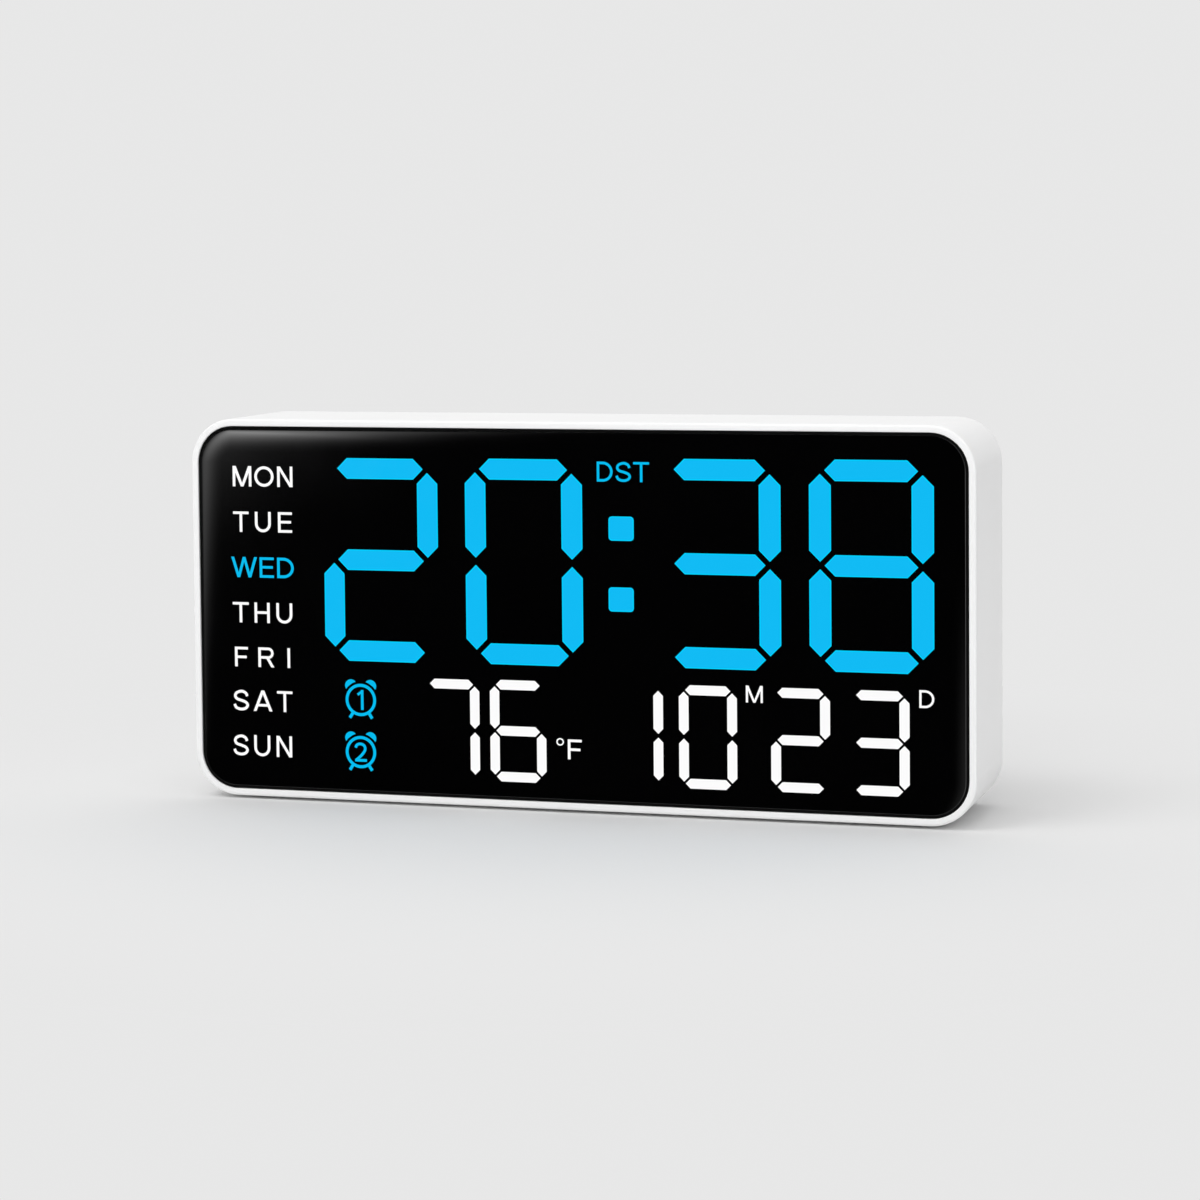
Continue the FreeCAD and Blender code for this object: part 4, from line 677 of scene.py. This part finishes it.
def letter_m(w, h, t):
    """M: two stems and two slopes that meet at the foot."""
    slope = [(0, h), ((w - t) / 2, 0), ((w + t) / 2, 0), (1.22 * t, h)]
    return stems(w, h, t) + [slope] + mirrored([slope], w)


def letter_n(w, h, t):
    """N: two stems and a slope."""
    corner = 1.16 * t
    return stems(w, h, t) + [[(0, h), (w - corner, 0), (w, 0), (corner, h)]]


def letter_o(w, h, t):
    """O: a ring."""
    return arc(w / 2, h / 2, w / 2, h / 2, 0, 360, t, steps=40)


def letter_r(w, h, t):
    """R: a stem, a bowl and a leaning leg."""
    bar, leg, knee = BAR * t, 1.18 * t, 0.42 * w
    low = 0.43 * h
    bowl = (h - low) / 2
    straight = 0.96 * w - bowl
    return arc(straight, h - bowl, bowl, bowl, -90, 90, bar) + [
        rectangle(0, 0, t, h),
        rectangle(0, h - bar, straight, h),
        rectangle(0, low, straight, low + bar),
        [(knee, low + bar), (knee + leg, low + bar), (w, 0), (w - leg, 0)],
    ]


def letter_s(w, h, t):
    """S: one smooth stroke."""
    path = [
        (0.96, 0.73), (0.84, 0.91), (0.52, 1.0), (0.16, 0.9), (0.06, 0.72), (0.2, 0.57),
        (0.52, 0.49), (0.85, 0.39), (0.98, 0.23), (0.83, 0.06), (0.48, 0.0), (0.14, 0.08),
        (0.0, 0.27),
    ]
    return drawn(path, w, h, t)


def letter_t(w, h, t):
    """T: a bar on a stem."""
    return [rectangle(0, h - BAR * t, w, h), rectangle((w - t) / 2, 0, (w + t) / 2, h)]


def letter_u(w, h, t):
    """U: two stems on half a ring."""
    low = w / 2
    return stems(w, h, t, low) + arc(low, low, low, low, 180, 360, t)


def letter_w(w, h, t):
    """W: four slopes."""
    foot, slant, top = 0.285 * w, 0.52 * t, 0.5 * t
    outer = [(0, h), (foot - slant, 0), (foot + slant, 0), (2 * slant + 0.05 * t, h)]
    inner = [(foot - slant, 0), (foot + slant, 0), (w / 2 + top, h), (w / 2 - top, h)]
    return [outer, inner] + mirrored([outer, inner], w)


def small_one(w, h, t):
    """1: a flag on a stem."""
    inset = t / 2
    flag = [(inset, 0.76 * h), (w - inset, h - 0.55 * t)]
    return stroke(flag, 0.9 * t) + [rectangle(w - t, 0, w, h)]


def small_two(w, h, t):
    """2: one smooth stroke on a bar."""
    path = [
        (0.02, 0.76), (0.14, 0.93), (0.48, 1.0), (0.84, 0.92), (0.97, 0.72), (0.86, 0.52),
        (0.5, 0.25), (0.04, 0.0),
    ]
    return drawn(path, w, h, t) + [rectangle(0.3 * t, 0, w, t)]


LETTERS = {
    "A": letter_a,
    "D": letter_d,
    "E": letter_e,
    "F": letter_f,
    "H": letter_h,
    "I": letter_i,
    "M": letter_m,
    "N": letter_n,
    "O": letter_o,
    "R": letter_r,
    "S": letter_s,
    "T": letter_t,
    "U": letter_u,
    "W": letter_w,
    "1": small_one,
    "2": small_two,
}


# ---------------------------------------------------------------- legends

# Each legend's name and letters, the x where each letter starts and ends, the heights of its
# foot and top, and the width of its stems.
LEGENDS = [
    ("monday", "MON", (-95.93, -90.45, -89.58, -83.95, -82.91, -78.45), 33.19, 38.75, 0.76),
    ("tuesday", "TUE", (-95.98, -91.44, -89.59, -84.95, -82.86, -78.77), 20.79, 26.35, 0.76),
    ("wednesday", "WED", (-96.73, -89.17, -88.42, -84.26, -83.30, -78.45), 8.40, 13.96, 0.76),
    ("thursday", "THU", (-96.49, -91.79, -90.11, -85.66, -83.71, -79.06), -3.96, 1.58, 0.76),
    ("friday", "FRI", (-96.07, -92.25, -89.20, -84.54, -80.66, -79.91), -16.05, -10.67, 0.76),
    ("saturday", "SAT", (-96.77, -92.10, -90.81, -85.29, -83.87, -79.38), -28.14, -22.46, 0.76),
    ("sunday", "SUN", (-96.99, -92.37, -90.79, -86.08, -84.22, -79.69), -40.52, -34.76, 0.76),
    ("daylight_saving", "DST", (7.54, 11.88, 12.61, 16.96, 17.51, 21.82), 35.89, 41.15, 0.68),
    ("degrees_unit", "F", (-1.15, 2.71), -37.91, -32.61, 0.74),
    ("month_unit", "M", (47.48, 52.00), -21.13, -16.69, 0.58),
    ("day_unit", "D", (93.18, 97.06), -20.99, -16.40, 0.58),
]
BLUE_LEGENDS = ("wednesday", "daylight_saving")
# The degree sign before its unit: middle, radii, first and last angle, and stroke.
DEGREE_SIGN = (-3.27, -33.36, 1.05, 1.01, 0, 360, 0.36)

# The alarm icon, in millimetres and degrees: the outer radius and the stroke of its ring.
RING = 4.38
RING_STROKE = 0.8
# A bell leans out from upright. Its foot lies off the ring, and is arched between two points
# beside its middle.
BELL_LEAN = 36
BELL_OFF = 0.42
BELL_HALF = 1.68
BELL_HEIGHT = 1.62
BELL_ARCH = 0.32
BELL_STEPS = 12
ARCH_POINTS = (-0.8, 0.8)
# A foot leans out too, and starts inside the ring.
FOOT_LEAN = 33
FOOT_INSIDE = 0.5
FOOT_LENGTH = 2.0
FOOT_STROKE = 0.84
FIGURE_STROKE = 0.74


def written(signs, edges, low, high, stem):
    """Letters between two heights. The edges are the x where each starts and where it ends."""
    polygons = []
    for sign, start, end in zip(signs, edges[::2], edges[1::2]):
        polygons += shifted(LETTERS[sign](end - start, high - low, stem), start, low)
    return polygons


def add_legends():
    """Weekdays, daylight saving and units. The lit weekday and daylight saving are blue."""
    for name, signs, edges, low, high, stem in LEGENDS:
        shape = written(signs, edges, low, high, stem)
        if name == "degrees_unit":
            shape = arc(*DEGREE_SIGN, steps=28) + shape
        if name in BLUE_LEGENDS:
            add_inlay(name, [(shape, LIT_BLUE_TEXT)])
        else:
            add_inlay(name, [(shape, LIT_WHITE_EDGE)])


def direction(degrees):
    """The direction at that angle."""
    turn = math.radians(degrees)
    return Vector((math.cos(turn), math.sin(turn)))


def bell(centre, out):
    """The outline of a dome that points out, with an arched foot."""
    across = Vector((-out.y, out.x))
    outline = []
    for k in range(BELL_STEPS + 1):
        turn = math.pi * k / BELL_STEPS
        rise = out * BELL_HEIGHT * math.sin(turn)
        outline.append(centre + across * BELL_HALF * math.cos(turn) + rise)
    for u in ARCH_POINTS:
        arch = BELL_ARCH * (1 - (u / BELL_HALF) ** 2)
        outline.append(centre + across * u + out * arch)
    return outline


def add_alarm_icon(name, x, z, figure, width, height, aside):
    """An alarm clock drawn round a figure: ring, two bells and two feet."""
    middle = Vector((x, z))
    shape = arc(x, z, RING, RING, 0, 360, RING_STROKE, steps=48)
    for side in (-1, 1):
        out = direction(90 - side * BELL_LEAN)
        shape.append(bell(middle + out * (RING + BELL_OFF), out))
        out = direction(-90 + side * FOOT_LEAN)
        start = middle + out * (RING - FOOT_INSIDE)
        shape += stroke([start, start + out * FOOT_LENGTH], FOOT_STROKE)
    drawing = LETTERS[figure](width, height, FIGURE_STROKE)
    shape += shifted(drawing, x + aside - width / 2, z - height / 2)
    add_inlay(name, [(shape, LIT_BLUE_TEXT)])


# ---------------------------------------------------------------- the lens

# The lens, in millimetres: the radius of its corners, how far it reaches past the CAD's lens, how
# wide its matt black border is, and the radius of the round edge inside the border. The border is
# painted shade: its matt black stands in for the shaded gap between the lens and the rim.
LENS_CORNER = 9.8
LENS_MARGIN = 0.2
LENS_BORDER = 0.7
LENS_ROUND = 0.25
ROUND_STEPS = 8
# How steeply the lens's face falls away at each distance from its edge, in millimetres.
LENS_TILT = [
    (0.95, 0.0542), (1.6, 0.0385), (2.3, 0.0281), (3.2, 0.0192), (4.3, 0.0112), (5.5, 0.0046),
    (7.0, 0.0),
]
STEPS_PER_SPAN = 4
# The first two bands of faces are the lens's side and its flat border, both in the matt black of
# the painted shade at the rim.
MATT_BANDS = 2
SHARP_ANGLE = math.radians(50.0)


def lens_profile():
    """The distance from the edge and the fall of the face, in millimetres, from the edge in."""
    profile = [(LENS_TILT[-1][0], 0.0)]
    for (near, steep), (far, gentle) in reversed(list(zip(LENS_TILT, LENS_TILT[1:]))):
        step = (far - near) / STEPS_PER_SPAN
        for k in range(STEPS_PER_SPAN):
            tilt = gentle + (steep - gentle) * (k + 0.5) / STEPS_PER_SPAN
            inset, fall = profile[-1]
            profile.append((inset - step, fall + tilt * step))
    brink = profile[-1][1]
    for k in range(1, ROUND_STEPS + 1):
        turn = math.radians(90.0 * k / ROUND_STEPS)
        inset = LENS_BORDER + LENS_ROUND * (1 - math.sin(turn))
        profile.append((inset, brink + LENS_ROUND * (1 - math.cos(turn))))
    return [(0.0, brink + LENS_ROUND)] + profile[::-1]


def add_lens():
    """The smoked panel: a matt black border of painted shade at its rim, a small round edge, and a
    face that rises softly inwards.
    """
    width, height = ((LENS_HIGH[k] - LENS_LOW[k]) / MM + 2 * LENS_MARGIN for k in (0, 2))
    back = (0.0, (LENS_HIGH.y - LENS_LOW.y) / MM)
    shape = bmesh.new()
    loops = []
    for inset, fall in [back, *lens_profile()]:
        outline = rounded_rectangle(
            0.0, 0.0, width - 2 * inset, height - 2 * inset, LENS_CORNER - inset, steps=24
        )
        y = LENS_FRONT + fall * MM
        loops.append([shape.verts.new(display_point(u, v, y)) for u, v in outline])
    for index, (outer, inner) in enumerate(zip(loops, loops[1:])):
        for corners in closed_band(outer, inner):
            face = shape.faces.new(corners)
            # The side and the border get the painted shade's matt black, the rest the glossy lens.
            face.material_index = int(index < MATT_BANDS)
    shape.faces.new(loops[-1])
    shape.faces.new(list(reversed(loops[0])))
    lens = finished("smoked_lens", shape, [LENS_BLACK, LENS_BORDER_PAINTED_SHADE])
    for polygon in lens.data.polygons:
        polygon.use_smooth = True
    lens.data.set_sharp_from_angle(angle=SHARP_ANGLE)
    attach(lens, CLOCK)
    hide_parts("front_lens")


# ---------------------------------------------------------------- floor

# The greys of the background and of the floor, and how far the floor reaches, in metres.
BACKGROUND = 0.803
FLOOR = 0.775
FLOOR_REACH = 6.0
# The distance from the clock's middle over which the floor fades into the background, and the y
# over which it clears for polish, in metres.
FLOOR_FADE = (0.09, 0.25)
FLOOR_CLEAR = (-0.015, -0.03)


def floor_material():
    """Pale paper that fades to the background for the camera, and is clear ahead for polish."""
    material = bpy.data.materials.new("floor")
    material.use_nodes = True
    nodes = Nodes(material.node_tree)
    coords = nodes.add("TexCoord").outputs["Object"]
    path = nodes.add("LightPath")
    distance = nodes.add("VectorMath", operation="LENGTH")
    nodes.link(coords, distance.inputs[0])
    far = nodes.ramp(distance.outputs["Value"], *FLOOR_FADE)
    _, y, _ = nodes.split(coords)
    ahead = nodes.ramp(y, *FLOOR_CLEAR)
    paper = nodes.add("BsdfDiffuse", Color=grey(FLOOR)).outputs["BSDF"]
    glow = nodes.add("Emission", Color=grey(BACKGROUND)).outputs["Emission"]
    clear = nodes.add("BsdfTransparent").outputs["BSDF"]
    faded = nodes.mixed(nodes.product(far, path.outputs["Is Camera Ray"]), paper, glow)
    shader = nodes.mixed(nodes.product(ahead, path.outputs["Is Glossy Ray"]), faded, clear)
    nodes.link(shader, nodes.add("OutputMaterial").inputs["Surface"])
    return material


def add_floor():
    """A pale floor that runs out into the background."""
    mesh = bpy.data.meshes.new("floor")
    corners = [(x * FLOOR_REACH, y * FLOOR_REACH, 0.0) for x, y in QUARTERS]
    mesh.from_pydata(corners, [], [(0, 1, 2, 3)])
    mesh.materials.append(floor_material())
    floor = put("floor", mesh)


# ---------------------------------------------------------------- light

# The strength of the soft light from all round.
AMBIENT = 0.68
# A soft slanting streak of light, seen only in polish: its brightest place as a direction, its
# slant in radians, and how far it reaches up, down and to its sides.
STREAK_LIGHT = 6.04
STREAK_X = -0.3959
STREAK_Z = 0.0128
STREAK_SLANT = 0.8236
STREAK_UP = 0.0306
STREAK_DOWN = 0.0714
STREAK_ASIDE = 0.024
# What else polish sees. Each pair is a range of a direction's x, y or z over which that part of
# the studio fades in. First a faint light low down to the right, and a strip at the right edge.
LOW_LIGHT = 0.25
LOW_X = (-0.16, -0.08)
LOW_Z = (-0.1, -0.18)
STRIP_LIGHT = 1.6
STRIP_X = (0.4, 0.6)
STRIP_Y = (0.1, -0.2)
STRIP_Z = (0.02, -0.03)
# Then the sides that are as pale as the background: right, far left and behind.
RIGHT_X = (0.0, 0.4)
LEFT_X = (-0.75, -0.95)
LEFT_Z = (0.04, 0.12)
BEHIND_Y = (0.1, 0.4)
# Each lamp's name and place, the width of its square, and its power.
LAMPS = (
    ("key", (-0.8, -0.9, 2.0), 1.0, 10.1),
    ("overhead", (0.0, -0.3, 2.2), 1.6, 9.1),
    ("front", (0.0, -1.8, 0.7), 1.0, 6.6),
)
LAMP_TARGET = Vector((0.0, 0.0, 0.05))


def streak(nodes, x, z):
    """How bright the streak of light is in a direction. It fades fastest at its upper end."""
    cos, sin = math.cos(STREAK_SLANT), math.sin(STREAK_SLANT)
    across = nodes.maths("SUBTRACT", x, STREAK_X)
    upward = nodes.maths("SUBTRACT", z, STREAK_Z)
    along = nodes.maths("ADD", nodes.product(across, cos), nodes.product(upward, sin))
    aside = nodes.maths("SUBTRACT", nodes.product(upward, cos), nodes.product(across, sin))
    above = nodes.maths("DIVIDE", along, STREAK_UP)
    below = nodes.maths("DIVIDE", along, -STREAK_DOWN)
    ends = nodes.maths("MAXIMUM", above, below)
    width = nodes.maths("DIVIDE", aside, STREAK_ASIDE)
    sides = nodes.product(width, width, 0.5)
    spent = nodes.product(nodes.maths("ADD", ends, sides), -1.0)
    return nodes.product(nodes.maths("EXPONENT", spent), STREAK_LIGHT)


def shining(nodes, strength):
    """A white background whose strength comes from a socket."""
    white = nodes.add("Background", Color=grey(1.0))
    nodes.link(strength, white.inputs["Strength"])
    return white.outputs["Background"]


def light_world():
    """Even soft light all round, with a studio that only the camera and polish see.

    The camera sees it pale. Seen in polish it is pale at the sides and behind, and dark to the
    front, but for the streak, the low light and the strip.
    """
    world = bpy.data.worlds.new("studio")
    world.use_nodes = True
    bpy.context.scene.world = world
    nodes = Nodes(world.node_tree)
    x, y, z = nodes.split(nodes.add("TexCoord").outputs["Generated"])
    path = nodes.add("LightPath")
    soft = nodes.add("Background", Color=grey(1.0), Strength=AMBIENT).outputs["Background"]
    pale = nodes.add("Background", Color=grey(BACKGROUND), Strength=1.0).outputs["Background"]
    low = nodes.product(nodes.ramp(x, *LOW_X), nodes.ramp(z, *LOW_Z), LOW_LIGHT)
    front = shining(nodes, nodes.maths("ADD", streak(nodes, x, z), low))
    narrow = nodes.product(nodes.ramp(x, *STRIP_X), nodes.ramp(y, *STRIP_Y))
    strip = shining(nodes, nodes.product(narrow, nodes.ramp(z, *STRIP_Z), STRIP_LIGHT))
    left = nodes.product(nodes.ramp(x, *LEFT_X), nodes.ramp(z, *LEFT_Z))
    sides = nodes.maths("MAXIMUM", nodes.ramp(x, *RIGHT_X), left)
    beside = nodes.maths("MAXIMUM", sides, nodes.ramp(y, *BEHIND_Y))
    polish = nodes.added(nodes.mixed(beside, front, pale), strip)
    lighting = nodes.mixed(path.outputs["Is Glossy Ray"], soft, polish)
    whole = nodes.mixed(path.outputs["Is Camera Ray"], lighting, pale)
    nodes.link(whole, nodes.add("OutputWorld").inputs["Surface"])


def add_lamp(name, location, width, power):
    """A square lamp that polish doesn't see."""
    data = bpy.data.lights.new(name, "AREA")
    data.shape = "SQUARE"
    data.size = width
    data.energy = power
    lamp = put(name, data)
    lamp.location = Vector(location)
    aim(lamp, LAMP_TARGET)
    lamp.visible_glossy = False


# ---------------------------------------------------------------- the scene

add_camera()
dress_nodes()
add_lens()
add_figures()
add_legends()
add_alarm_icon("alarm_icon_1", -59.54, -24.09, "1", width=2.05, height=5.4, aside=-0.25)
add_alarm_icon("alarm_icon_2", -59.71, -38.27, "2", width=3.6, height=5.2, aside=-0.1)
add_floor()
light_world()
for lamp_values in LAMPS:
    add_lamp(*lamp_values)

bpy.context.scene.view_settings.view_transform = "Standard"
